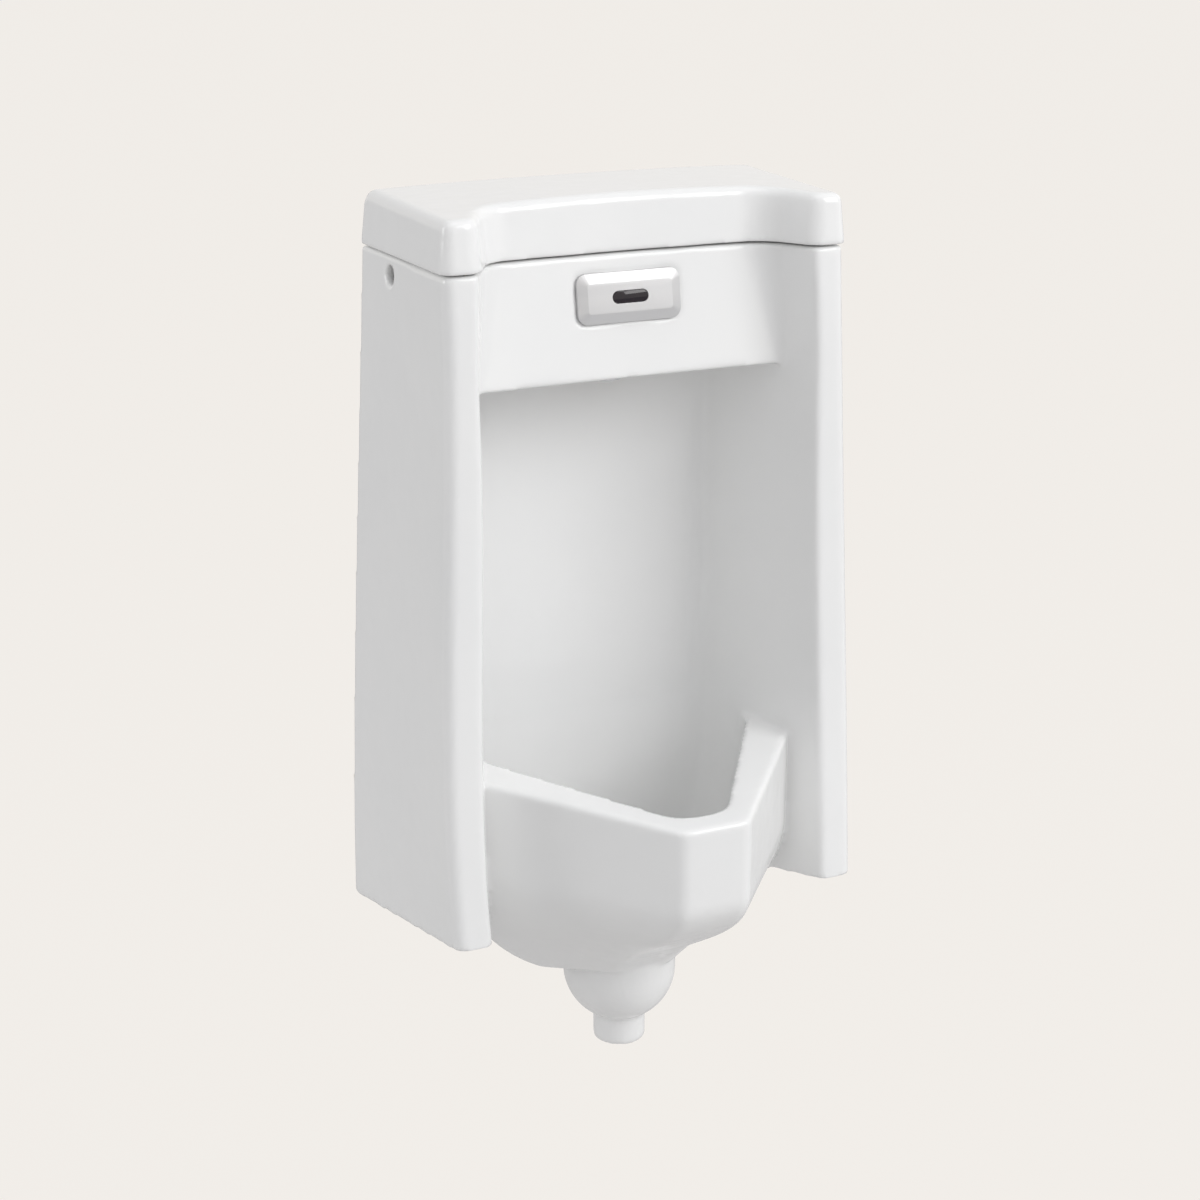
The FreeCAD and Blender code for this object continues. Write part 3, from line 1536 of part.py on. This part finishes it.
def behind_eye(side, out):
    """A point straight behind the eye's housing."""
    local = FreeCAD.Vector(side * size("lead_across"), size("eye_deep") + out, 0)
    return frame.multVec(local)


def control_cable():
    coil_side = worth("%s + coil_radius" % VALVE_MIDDLE)
    depth = worth(COIL_BACK) + size("coil_length") / 2
    end = FreeCAD.Vector(coil_side, -depth, rise(size("line_height")))
    start = behind_eye(-1, 0)
    out = behind_eye(-1, 7)
    before = FreeCAD.Vector(coil_side + 9, -depth, end.z)
    return lead([start, out, before, end], "control_cable")


def battery_cable():
    start = behind_eye(1, 0)
    out = behind_eye(1, 8)
    depth = worth("box_depth + (%s) * 0.75" % BOX_DEEP)
    end = FreeCAD.Vector(size("box_across"), -depth, rise(worth("%s + (%s) / 2"
                                                                        % (BOX_FLOOR, BOX_TALL))))
    before = end + FreeCAD.Vector(-14, 0, 0)
    return lead([start, out, before, end], "battery_cable")


# ---- drain --------------------------------------------------------------------------------------

DRAIN = {"depth": "drain_depth"}


def strainer():
    disc = cylinder("strainer_radius", "strainer_thick", height="ledge_height", **DRAIN)
    holes = [cylinder("knob_shank + knob_gap", "3 * strainer_thick",
                      height="ledge_height - strainer_thick", **DRAIN)]
    for count, share in ((8, 0.36), (12, 0.58), (16, 0.8)):
        for index in range(count):
            angle = 2 * math.pi * index / count
            hole = cylinder("strainer_hole", "3 * strainer_thick",
                            across="strainer_radius * %.6f" % (share * math.cos(angle)),
                            depth="drain_depth - strainer_radius * %.6f"
                            % (share * math.sin(angle)),
                            height="ledge_height - strainer_thick")
            holes.append(hole)
    return cut(disc, *holes)


def trap_bell():
    top, wall = "ledge_height - bell_bottom", "bell_wall"
    corners = [("knob_shank", "%s - %s" % (top, wall)),
               ("bell_radius - %s" % wall, "%s - %s" % (top, wall)),
               ("bell_radius - %s" % wall, "0"), ("bell_radius", "0"), ("bell_radius", top),
               ("knob_shank", top)]
    return turned(corners, height="bell_bottom", **DRAIN)


def strainer_screw():
    top = "strainer_thick + bell_wall"
    corners = [("0", "0"), ("knob_shank", "0"), ("knob_shank", top), ("knob_radius", top),
               ("knob_radius", "%s + knob_tall" % top), ("0", "%s + knob_tall" % top)]
    return turned(corners, height="ledge_height - bell_wall", **DRAIN)


def trap_standpipe():
    insert, flange = "standpipe_insert", "standpipe_insert + standpipe_flange_thick"
    top = "pipe_top - sump_floor + standpipe_insert"
    foot = "outlet_bore - standpipe_gap"
    groove = "%s - ring_thick" % foot
    low, high = "%s / 2 - ring_thick" % insert, "%s / 2 + ring_thick" % insert
    bore = "outlet_bore - standpipe_wall - ring_thick"
    corners = [(bore, "0"), (foot, "0"), (foot, low), (groove, low), (groove, high), (foot, high),
               (foot, insert), ("standpipe_flange", insert), ("standpipe_flange", flange),
               ("standpipe_radius", flange), ("standpipe_radius", top), (bore, top)]
    return turned(corners, height="sump_floor - %s" % insert, **DRAIN)


def standpipe_seal():
    return ring("outlet_bore - ring_thick / 2 - standpipe_gap / 2", "ring_thick / 2",
                height="sump_floor - standpipe_insert / 2", **DRAIN)


# ---- everything -----------------------------------------------------------------------------------

frame = face_frame()
china = keep("china_body", china_body(frame))
doc.recompute()
bracket_front = bracket_seat()
for maker in (china_lid, lid_bumpers, hanger_bushes, sensor_gasket, sensor_plate, sensor_window,
              sensor_housing, sensor_board, ir_diodes, sensor_studs, sensor_bracket, sensor_nuts,
              inlet_elbow, inlet_washer, stop_valve_body, stop_valve_ball, stop_valve_stem,
              stem_seal, filter_screen, valve_body, diaphragm, diaphragm_core, valve_bonnet,
              bonnet_screws, plunger, plunger_spring, coil, coil_nut, outlet_pipe, pipe_nuts,
              spud, spud_seal, spud_nut, spreader, battery_pad, battery_box, battery_cells,
              battery_contacts, battery_seal, battery_cover, control_cable, battery_cable,
              strainer, strainer_screw, trap_bell, trap_standpipe, standpipe_seal):
    keep(maker.__name__, maker())

doc.recompute()
for thing in doc.Objects:
    if "Invalid" in thing.State or "Error" in thing.State:
        raise RuntimeError("%s failed: %s" % (thing.Label, thing.State))
os.makedirs("parts", exist_ok=True)
for thing in nodes:
    shape = thing.Shape
    if shape.isNull() or not shape.isValid():
        raise RuntimeError("%s has no valid shape" % thing.Label)
    shape.exportStep("parts/%s.step" % thing.Label)
    print(thing.Label, len(shape.Solids), "solids", round(shape.Volume / 1000, 3), "cm3")
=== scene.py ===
import json
import math

import bmesh
import bpy
from mathutils import Matrix, Vector


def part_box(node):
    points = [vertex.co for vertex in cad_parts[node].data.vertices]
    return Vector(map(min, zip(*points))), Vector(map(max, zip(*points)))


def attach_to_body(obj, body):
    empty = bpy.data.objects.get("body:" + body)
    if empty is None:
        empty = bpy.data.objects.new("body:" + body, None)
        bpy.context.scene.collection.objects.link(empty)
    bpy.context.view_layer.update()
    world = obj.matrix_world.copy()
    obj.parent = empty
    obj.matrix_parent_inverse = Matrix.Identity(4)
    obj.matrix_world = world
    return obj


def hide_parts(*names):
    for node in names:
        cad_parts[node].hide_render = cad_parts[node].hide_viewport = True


# Wall hung china urinal. Metres, +Z up, the front faces -Y, the wall is the plane Y = 0.

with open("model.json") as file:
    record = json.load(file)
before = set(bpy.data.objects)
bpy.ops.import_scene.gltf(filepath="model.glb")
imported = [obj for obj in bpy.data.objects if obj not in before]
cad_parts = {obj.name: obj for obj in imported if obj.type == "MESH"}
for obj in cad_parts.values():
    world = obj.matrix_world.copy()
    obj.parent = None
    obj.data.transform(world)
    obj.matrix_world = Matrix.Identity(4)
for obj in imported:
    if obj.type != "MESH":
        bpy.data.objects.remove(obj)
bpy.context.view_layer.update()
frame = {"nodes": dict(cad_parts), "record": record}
print("frame loaded:", len(frame["nodes"]), "pieces")


# camera, from the photograph's own edges
shot = {
    "eye": (-0.9255, -1.9978, 0.3729),
    "aim": (-0.0323, -0.1500, -0.2703),
    "lens": 75.78,
    "sensor": 36,
    "near": 0.05,
}


def lookAt(place, aim):
    return (Vector(aim) - Vector(place)).to_track_quat("-Z", "Y").to_euler()


def placeCamera(plan):
    camera = bpy.data.objects.new("camera", bpy.data.cameras.new("camera"))
    camera.data.lens = plan["lens"]
    camera.data.sensor_width = plan["sensor"]
    camera.data.clip_start = plan["near"]
    camera.location = plan["eye"]
    camera.rotation_euler = lookAt(plan["eye"], plan["aim"])
    bpy.context.scene.collection.objects.link(camera)
    bpy.context.scene.camera = camera


placeCamera(shot)
bpy.context.scene.view_settings.view_transform = "Standard"


# studio: a tent that is brighter towards the front right, with a big soft key lamp
studio = {
    "backdrop": (0.888, 0.855, 0.815),
    "room": (0.975, 0.98, 1.0),
    "brightSide": (0.42, -0.78, 0.46),
    "roomLow": 0.2,
    "roomHigh": 0.9,
    "floorShown": (0.904, 0.871, 0.83),
    "floorBounce": (0.64, 0.63, 0.62),
    "floorHeight": -1.12,
    "floorSize": 40.0,
    "floorGlow": 0.94,
}
lamps = {
    "key": {"place": (2.3, -2.9, 1.9), "aim": (0, -0.15, -0.3), "size": 2.2, "power": 66},
    "top": {"place": (0.2, -0.9, 2.4), "aim": (0, -0.1, 0), "size": 1.6, "power": 6},
    "side": {"place": (-2.6, 0.9, 0.6), "aim": (0, -0.1, -0.2), "size": 1.2, "power": 18},
}


def newTree(owner):
    owner.use_nodes = True
    owner.node_tree.nodes.clear()
    return owner.node_tree


def addNode(tree, kind, **values):
    node = tree.nodes.new(kind)
    for key, value in values.items():
        setattr(node, key, value)
    return node


def ranged(tree, source, low, high, fromLow=0.3, fromHigh=0.7):
    spread = addNode(tree, "ShaderNodeMapRange")
    spread.inputs["From Min"].default_value = fromLow
    spread.inputs["From Max"].default_value = fromHigh
    spread.inputs["To Min"].default_value = low
    spread.inputs["To Max"].default_value = high
    tree.links.new(source, spread.inputs["Value"])
    return spread.outputs["Result"]


def buildRoom(plan):
    world = bpy.data.worlds.new("room")
    bpy.context.scene.world = world
    tree = newTree(world)
    rays = addNode(tree, "ShaderNodeLightPath")
    seen = addNode(tree, "ShaderNodeMath", operation="MAXIMUM")
    tree.links.new(rays.outputs["Is Camera Ray"], seen.inputs[0])
    tree.links.new(rays.outputs["Is Transmission Ray"], seen.inputs[1])
    shiny = addNode(tree, "ShaderNodeMath", operation="MAXIMUM")
    tree.links.new(seen.outputs[0], shiny.inputs[0])
    tree.links.new(rays.outputs["Is Glossy Ray"], shiny.inputs[1])
    facing = addNode(tree, "ShaderNodeVectorMath", operation="DOT_PRODUCT")
    tree.links.new(addNode(tree, "ShaderNodeTexCoord").outputs["Generated"], facing.inputs[0])
    facing.inputs[1].default_value = Vector(plan["brightSide"]).normalized()
    lit = addNode(tree, "ShaderNodeBackground")
    lit.inputs["Color"].default_value = (*plan["room"], 1)
    level = ranged(tree, facing.outputs["Value"], plan["roomLow"], plan["roomHigh"], -1, 1)
    tree.links.new(level, lit.inputs["Strength"])
    shown = addNode(tree, "ShaderNodeBackground")
    shown.inputs["Color"].default_value = (*plan["backdrop"], 1)
    mix = addNode(tree, "ShaderNodeMixShader")
    tree.links.new(shiny.outputs[0], mix.inputs[0])
    tree.links.new(lit.outputs[0], mix.inputs[1])
    tree.links.new(shown.outputs[0], mix.inputs[2])
    tree.links.new(mix.outputs[0], addNode(tree, "ShaderNodeOutputWorld").inputs[0])


def buildFloor(plan):
    half = plan["floorSize"] / 2
    low = plan["floorHeight"]
    mesh = bpy.data.meshes.new("floor")
    mesh.from_pydata([(-half, -half, low), (half, -half, low), (half, half, low),
                      (-half, half, low)], [], [(0, 1, 2, 3)])
    floor = bpy.data.objects.new("floor", mesh)
    bpy.context.scene.collection.objects.link(floor)
    material = bpy.data.materials.new("paleFloor")
    tree = newTree(material)
    rays = addNode(tree, "ShaderNodeLightPath")
    share = addNode(tree, "ShaderNodeMath", operation="MULTIPLY")
    tree.links.new(rays.outputs["Is Camera Ray"], share.inputs[0])
    share.inputs[1].default_value = plan["floorGlow"]
    matt = addNode(tree, "ShaderNodeBsdfDiffuse")
    matt.inputs["Color"].default_value = (*plan["floorBounce"], 1)
    glow = addNode(tree, "ShaderNodeEmission")
    glow.inputs["Color"].default_value = (*plan["floorShown"], 1)
    mix = addNode(tree, "ShaderNodeMixShader")
    tree.links.new(share.outputs[0], mix.inputs[0])
    tree.links.new(matt.outputs[0], mix.inputs[1])
    tree.links.new(glow.outputs[0], mix.inputs[2])
    tree.links.new(mix.outputs[0], addNode(tree, "ShaderNodeOutputMaterial").inputs[0])
    mesh.materials.append(material)


def hangLamp(name, plan):
    light = bpy.data.lights.new(name, "AREA")
    light.size = plan["size"]
    light.energy = plan["power"]
    lamp = bpy.data.objects.new(name, light)
    lamp.location = plan["place"]
    lamp.rotation_euler = lookAt(plan["place"], plan["aim"])
    bpy.context.scene.collection.objects.link(lamp)


buildRoom(studio)
buildFloor(studio)
for lampName, lampPlan in lamps.items():
    hangLamp(lampName, lampPlan)
print("studio built")


# finishes
finishes = {
    "china": {"colour": (0.865, 0.865, 0.858), "other": (0.848, 0.85, 0.845), "rough": (0.1, 0.16),
              "patch": 9, "bumpScale": 22, "bumpDepth": 0.0005, "ior": 1.52,
              "bare": {"colour": (0.62, 0.55, 0.45), "rough": 0.85,
                       "from": -0.0022, "to": -0.0008}},
    "plate_metal": {"colour": (0.64, 0.64, 0.645), "other": (0.61, 0.61, 0.62), "metal": 0.5,
                    "rough": (0.36, 0.42), "patch": 60, "stretch": (0.06, 1, 1),
                    "bumpScale": 1500, "bumpDepth": 0.00001},
    "window_black": {"colour": (0.012, 0.01, 0.014), "other": (0.02, 0.012, 0.018),
                     "rough": (0.05, 0.09), "patch": 120, "bumpScale": 200, "bumpDepth": 0.00001},
    "rubber_black": {"colour": (0.03, 0.03, 0.031), "other": (0.05, 0.05, 0.05),
                     "rough": (0.6, 0.8), "patch": 200, "bumpScale": 900, "bumpDepth": 0.00008},
    "brass": {"colour": (0.72, 0.52, 0.24), "other": (0.6, 0.41, 0.17), "metal": 1,
              "rough": (0.2, 0.36), "patch": 90, "bumpScale": 1200, "bumpDepth": 0.00003},
    "chrome": {"colour": (0.72, 0.73, 0.75), "other": (0.66, 0.67, 0.69), "metal": 1,
               "rough": (0.06, 0.14), "patch": 70, "bumpScale": 400, "bumpDepth": 0.00001},
    "steel": {"colour": (0.5, 0.5, 0.51), "other": (0.4, 0.4, 0.42), "metal": 1,
              "rough": (0.25, 0.42), "patch": 150, "bumpScale": 1200, "bumpDepth": 0.00003},
    "nylon_white": {"colour": (0.78, 0.78, 0.75), "other": (0.72, 0.72, 0.69),
                    "rough": (0.4, 0.55), "patch": 80, "bumpScale": 700, "bumpDepth": 0.00004},
    "plastic_black": {"colour": (0.022, 0.022, 0.024), "other": (0.035, 0.035, 0.037),
                      "rough": (0.38, 0.55), "patch": 120, "bumpScale": 1100,
                      "bumpDepth": 0.00006},
    "plastic_grey": {"colour": (0.13, 0.135, 0.145), "other": (0.17, 0.175, 0.185),
                     "rough": (0.38, 0.52), "patch": 100, "bumpScale": 1000,
                     "bumpDepth": 0.00006},
    "board_green": {"colour": (0.01, 0.07, 0.025), "other": (0.02, 0.13, 0.045),
                    "rough": (0.25, 0.4), "patch": 260, "bumpScale": 500, "bumpDepth": 0.00005},
    "cell_jacket": {"colour": (0.02, 0.02, 0.025), "other": (0.05, 0.045, 0.03), "metal": 0.4,
                    "rough": (0.2, 0.32), "patch": 50, "bumpScale": 600, "bumpDepth": 0.00002},
    "silicone_clear": {"colour": (0.74, 0.74, 0.72), "other": (0.7, 0.7, 0.68),
                       "rough": (0.3, 0.42), "patch": 150, "bumpScale": 500,
                       "bumpDepth": 0.00003},
    "lead_black": {"colour": (0.018, 0.018, 0.018), "other": (0.03, 0.03, 0.03),
                   "rough": (0.42, 0.55), "patch": 150, "bumpScale": 800, "bumpDepth": 0.00003},
}


def noiseFrom(tree, place, scale, detail=3.0):
    noise = addNode(tree, "ShaderNodeTexNoise")
    noise.inputs["Scale"].default_value = scale
    noise.inputs["Detail"].default_value = detail
    tree.links.new(place, noise.inputs["Vector"])
    return noise.outputs["Fac"]


def mixed(tree, factor, first, second):
    mix = addNode(tree, "ShaderNodeMix", data_type="RGBA")
    for socket, value in (("A", first), ("B", second)):
        target = next(item for item in mix.inputs if item.name == socket and item.type == "RGBA")
        if isinstance(value, tuple):
            target.default_value = (*value, 1)
        else:
            tree.links.new(value, target)
    tree.links.new(factor, mix.inputs["Factor"])
    return next(item for item in mix.outputs if item.type == "RGBA")


def makeFinish(name, plan):
    material = bpy.data.materials.new(name)
    tree = newTree(material)
    place = addNode(tree, "ShaderNodeTexCoord").outputs["Object"]
    if "stretch" in plan:
        mapping = addNode(tree, "ShaderNodeMapping")
        mapping.inputs["Scale"].default_value = plan["stretch"]
        tree.links.new(place, mapping.inputs["Vector"])
        place = mapping.outputs["Vector"]
    shader = addNode(tree, "ShaderNodeBsdfPrincipled")
    patch = noiseFrom(tree, place, plan["patch"])
    tint = mixed(tree, ranged(tree, patch, 0, 1), plan["colour"], plan["other"])
    rough = ranged(tree, noiseFrom(tree, place, plan["patch"] * 2.3), *plan["rough"])
    if "bare" in plan:  # the clay is unglazed where the casting meets the wall
        bare = plan["bare"]
        apart = addNode(tree, "ShaderNodeSeparateXYZ")
        tree.links.new(place, apart.inputs[0])
        edge = ranged(tree, apart.outputs["Y"], 0, 1, bare["from"], bare["to"])
        tint = mixed(tree, edge, tint, bare["colour"])
        blend = addNode(tree, "ShaderNodeMix", data_type="FLOAT")
        tree.links.new(edge, blend.inputs["Factor"])
        tree.links.new(rough, blend.inputs["A"])
        blend.inputs["B"].default_value = bare["rough"]
        rough = blend.outputs["Result"]
    tree.links.new(tint, shader.inputs["Base Color"])
    tree.links.new(rough, shader.inputs["Roughness"])
    shader.inputs["Metallic"].default_value = plan.get("metal", 0)
    shader.inputs["IOR"].default_value = plan.get("ior", 1.5)
    bump = addNode(tree, "ShaderNodeBump")
    bump.inputs["Distance"].default_value = plan["bumpDepth"]
    bump.inputs["Strength"].default_value = 1
    tree.links.new(noiseFrom(tree, place, plan["bumpScale"], 2), bump.inputs["Height"])
    tree.links.new(bump.outputs["Normal"], shader.inputs["Normal"])
    tree.links.new(shader.outputs[0], addNode(tree, "ShaderNodeOutputMaterial").inputs[0])
    return material


slotMaterials = {name: makeFinish(name, plan) for name, plan in finishes.items()}
for subpart in frame["record"]["subparts"]:
    node = frame["nodes"][subpart["node"]]
    node.data.materials.clear()
    node.data.materials.append(slotMaterials[subpart["material_slot"]])
print("finishes made:", len(slotMaterials))


def bodyOf(node):
    bodies = frame["record"]["behaviour"]["bodies"]
    return next(body for body, nodes in bodies.items() if node in nodes)


def slotOf(node):
    return next(item["material_slot"] for item in frame["record"]["subparts"]
                if item["node"] == node)


mergeWithin = 0.000002


def mergedMesh(node):
    form = bmesh.new()
    form.from_mesh(frame["nodes"][node].data)
    bmesh.ops.remove_doubles(form, verts=form.verts, dist=mergeWithin)
    mesh = bpy.data.meshes.new(node)
    form.to_mesh(mesh)
    form.free()
    return mesh


def newPiece(name, mesh):
    piece = bpy.data.objects.new(name, mesh)
    bpy.context.scene.collection.objects.link(piece)
    return piece


def settled(piece):
    graph = bpy.context.evaluated_depsgraph_get()
    mesh = bpy.data.meshes.new_from_object(piece.evaluated_get(graph))
    piece.modifiers.clear()
    piece.data = mesh
    return piece


def attach(piece, node):
    piece.data.materials.clear()
    piece.data.materials.append(slotMaterials[slotOf(node)])
    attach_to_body(piece, bodyOf(node))
    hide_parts(node)
    return piece


# glazed china: the casting's own shape, its edges run round as a glaze leaves them
smoothPull = 0.5
glazed = {
    "bodyShell": {"node": "china_body", "voxel": 0.0025, "passes": 6, "keep": 0.26},
    "lidShell": {"node": "china_lid", "voxel": 0.002, "passes": 6, "keep": 0.3},
}


def glazeOver(name, plan):
    piece = newPiece(name, mergedMesh(plan["node"]))
    remesh = piece.modifiers.new("skin", "REMESH")
    remesh.mode = "VOXEL"
    remesh.voxel_size = plan["voxel"]
    remesh.use_smooth_shade = True
    settle = piece.modifiers.new("settle", "SHRINKWRAP")  # takes the voxel steps out
    settle.target = frame["nodes"][plan["node"]]
    settle.wrap_method = "NEAREST_SURFACEPOINT"
    smooth = piece.modifiers.new("run", "SMOOTH")
    smooth.factor = smoothPull
    smooth.iterations = plan["passes"]
    thin = piece.modifiers.new("thin", "DECIMATE")
    thin.ratio = plan["keep"]
    settled(piece)
    piece.data.polygons.foreach_set("use_smooth", [True] * len(piece.data.polygons))
    print(name, len(piece.data.polygons), "faces")
    return attach(piece, plan["node"])


for pieceName, piecePlan in glazed.items():
    glazeOver(pieceName, piecePlan)
print("china glazed")


# hardware: each piece's edges eased, in metres
easedEdges = {
    "sensor_plate": 0.00045, "sensor_window": 0.0005, "sensor_housing": 0.0004,
    "sensor_bracket": 0.0002, "sensor_nuts": 0.0003, "inlet_elbow": 0.0004,
    "stop_valve_body": 0.0005, "stop_valve_stem": 0.0003, "valve_body": 0.0006,
    "valve_bonnet": 0.0006, "bonnet_screws": 0.0002, "coil": 0.0008, "coil_nut": 0.0003,
    "pipe_nuts": 0.0004, "spud_nut": 0.0005, "spreader": 0.0003, "battery_box": 0.0006,
    "battery_cover": 0.0006, "hanger_bushes": 0.0004, "strainer": 0.0003,
    "strainer_screw": 0.0002, "trap_bell": 0.0005, "trap_standpipe": 0.0004,
}
easing = {"sharp": 38, "flat": 0.5, "segments": 2}
shallow = {"sensor_plate": 12}  # a border of low slope still reads as an edge


def easeEdges(node, width, plan):
    mesh = mergedMesh(node)
    form = bmesh.new()
    form.from_mesh(mesh)
    bmesh.ops.dissolve_limit(form, angle_limit=math.radians(plan["flat"]), verts=form.verts,
                             edges=form.edges)
    form.to_mesh(mesh)
    form.free()
    piece = newPiece(node + "_eased", mesh)
    bevel = piece.modifiers.new("ease", "BEVEL")
    bevel.width = width
    bevel.segments = plan["segments"]
    bevel.limit_method = "ANGLE"
    sharp = math.radians(shallow.get(node, plan["sharp"]))
    bevel.angle_limit = sharp
    bevel.use_clamp_overlap = True
    settled(piece)
    piece.data.polygons.foreach_set("use_smooth", [True] * len(piece.data.polygons))
    piece.data.set_sharp_from_angle(angle=sharp)
    return attach(piece, node)


for nodeName, edgeWidth in easedEdges.items():
    easeEdges(nodeName, edgeWidth, easing)
print("edges eased:", len(easedEdges))


# soldered parts on the sensor's board, scattered with a fixed seed
boardParts = {"node": "sensor_board", "slot": "plastic_black", "count": 26, "seed": 7,
              "margin": 0.0035, "small": (0.0012, 0.0012, 0.0008),
              "large": (0.0032, 0.0022, 0.0013), "spacing": 1.25, "crowding": 6,
              "sunk": 0.0002}
cubeFaces = 6


def newGroup(name, inputs):
    group = bpy.data.node_groups.new(name, "GeometryNodeTree")
    for label, kind in inputs.items():
        group.interface.new_socket(label, in_out="INPUT", socket_type=kind)
    group.interface.new_socket("Mesh", in_out="OUTPUT", socket_type="NodeSocketGeometry")
    return group, group.nodes.new("NodeGroupInput"), group.nodes.new("NodeGroupOutput")


def finishTree(group, last, out, material):
    real = group.nodes.new("GeometryNodeRealizeInstances")
    paint = group.nodes.new("GeometryNodeSetMaterial")
    paint.inputs["Material"].default_value = material
    group.links.new(last, real.inputs[0])
    group.links.new(real.outputs[0], paint.inputs["Geometry"])
    group.links.new(paint.outputs[0], out.inputs[0])


def runTree(name, group, values):
    piece = newPiece(name, bpy.data.meshes.new(name))
    maker = piece.modifiers.new("make", "NODES")
    maker.node_group = group
    for item in group.interface.items_tree:
        if item.item_type == "SOCKET" and item.in_out == "INPUT":
            maker[item.identifier] = values[item.name]
    return settled(piece)


def fillBoard(plan):
    low, high = (Vector(corner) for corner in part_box(plan["node"]))
    wide, tall = (high.x - low.x) - 2 * plan["margin"], (high.z - low.z) - 2 * plan["margin"]
    group, given, out = newGroup("boardParts", {
        "Wide": "NodeSocketFloat", "Tall": "NodeSocketFloat", "Density": "NodeSocketFloat",
        "Seed": "NodeSocketInt", "Small": "NodeSocketVector", "Large": "NodeSocketVector"})
    grid = group.nodes.new("GeometryNodeMeshGrid")
    group.links.new(given.outputs["Wide"], grid.inputs["Size X"])
    group.links.new(given.outputs["Tall"], grid.inputs["Size Y"])
    spread = group.nodes.new("GeometryNodeDistributePointsOnFaces")
    spread.distribute_method = "POISSON"
    spread.inputs["Distance Min"].default_value = plan["large"][0] * plan["spacing"]
    group.links.new(grid.outputs["Mesh"], spread.inputs["Mesh"])
    group.links.new(given.outputs["Density"], spread.inputs["Density Max"])
    group.links.new(given.outputs["Seed"], spread.inputs["Seed"])
    chip = group.nodes.new("GeometryNodeMeshCube")
    place = group.nodes.new("GeometryNodeInstanceOnPoints")
    group.links.new(spread.outputs["Points"], place.inputs["Points"])
    group.links.new(chip.outputs["Mesh"], place.inputs["Instance"])
    size = group.nodes.new("FunctionNodeRandomValue")
    size.data_type = "FLOAT_VECTOR"
    group.links.new(given.outputs["Small"], size.inputs["Min"])
    group.links.new(given.outputs["Large"], size.inputs["Max"])
    group.links.new(given.outputs["Seed"], size.inputs["Seed"])
    group.links.new(size.outputs["Value"], place.inputs["Scale"])
    finishTree(group, place.outputs["Instances"], out, slotMaterials[plan["slot"]])
    piece = runTree("boardParts", group, {
        "Wide": wide, "Tall": tall, "Density": plan["count"] * plan["crowding"] / (wide * tall),
        "Seed": plan["seed"], "Small": plan["small"], "Large": plan["large"]})
    # the board leans with the header's face, so its parts lie on its own back face
    board = mergedMesh(plan["node"])
    back = max(board.polygons, key=lambda face: (round(face.normal.y, 2), face.area))
    across = Vector((1, 0, 0))
    turn = Matrix((across, across.cross(-back.normal).normalized(), back.normal)).transposed()
    middle = (low + high) / 2
    middle -= back.normal * (middle - board.vertices[back.vertices[0]].co).dot(back.normal)
    piece.data.transform(Matrix.Translation(middle - back.normal * plan["sunk"])
                         @ turn.to_4x4())
    bpy.data.meshes.remove(board)
    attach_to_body(piece, bodyOf(plan["node"]))
    print("board parts:", len(piece.data.polygons) // cubeFaces)


fillBoard(boardParts)
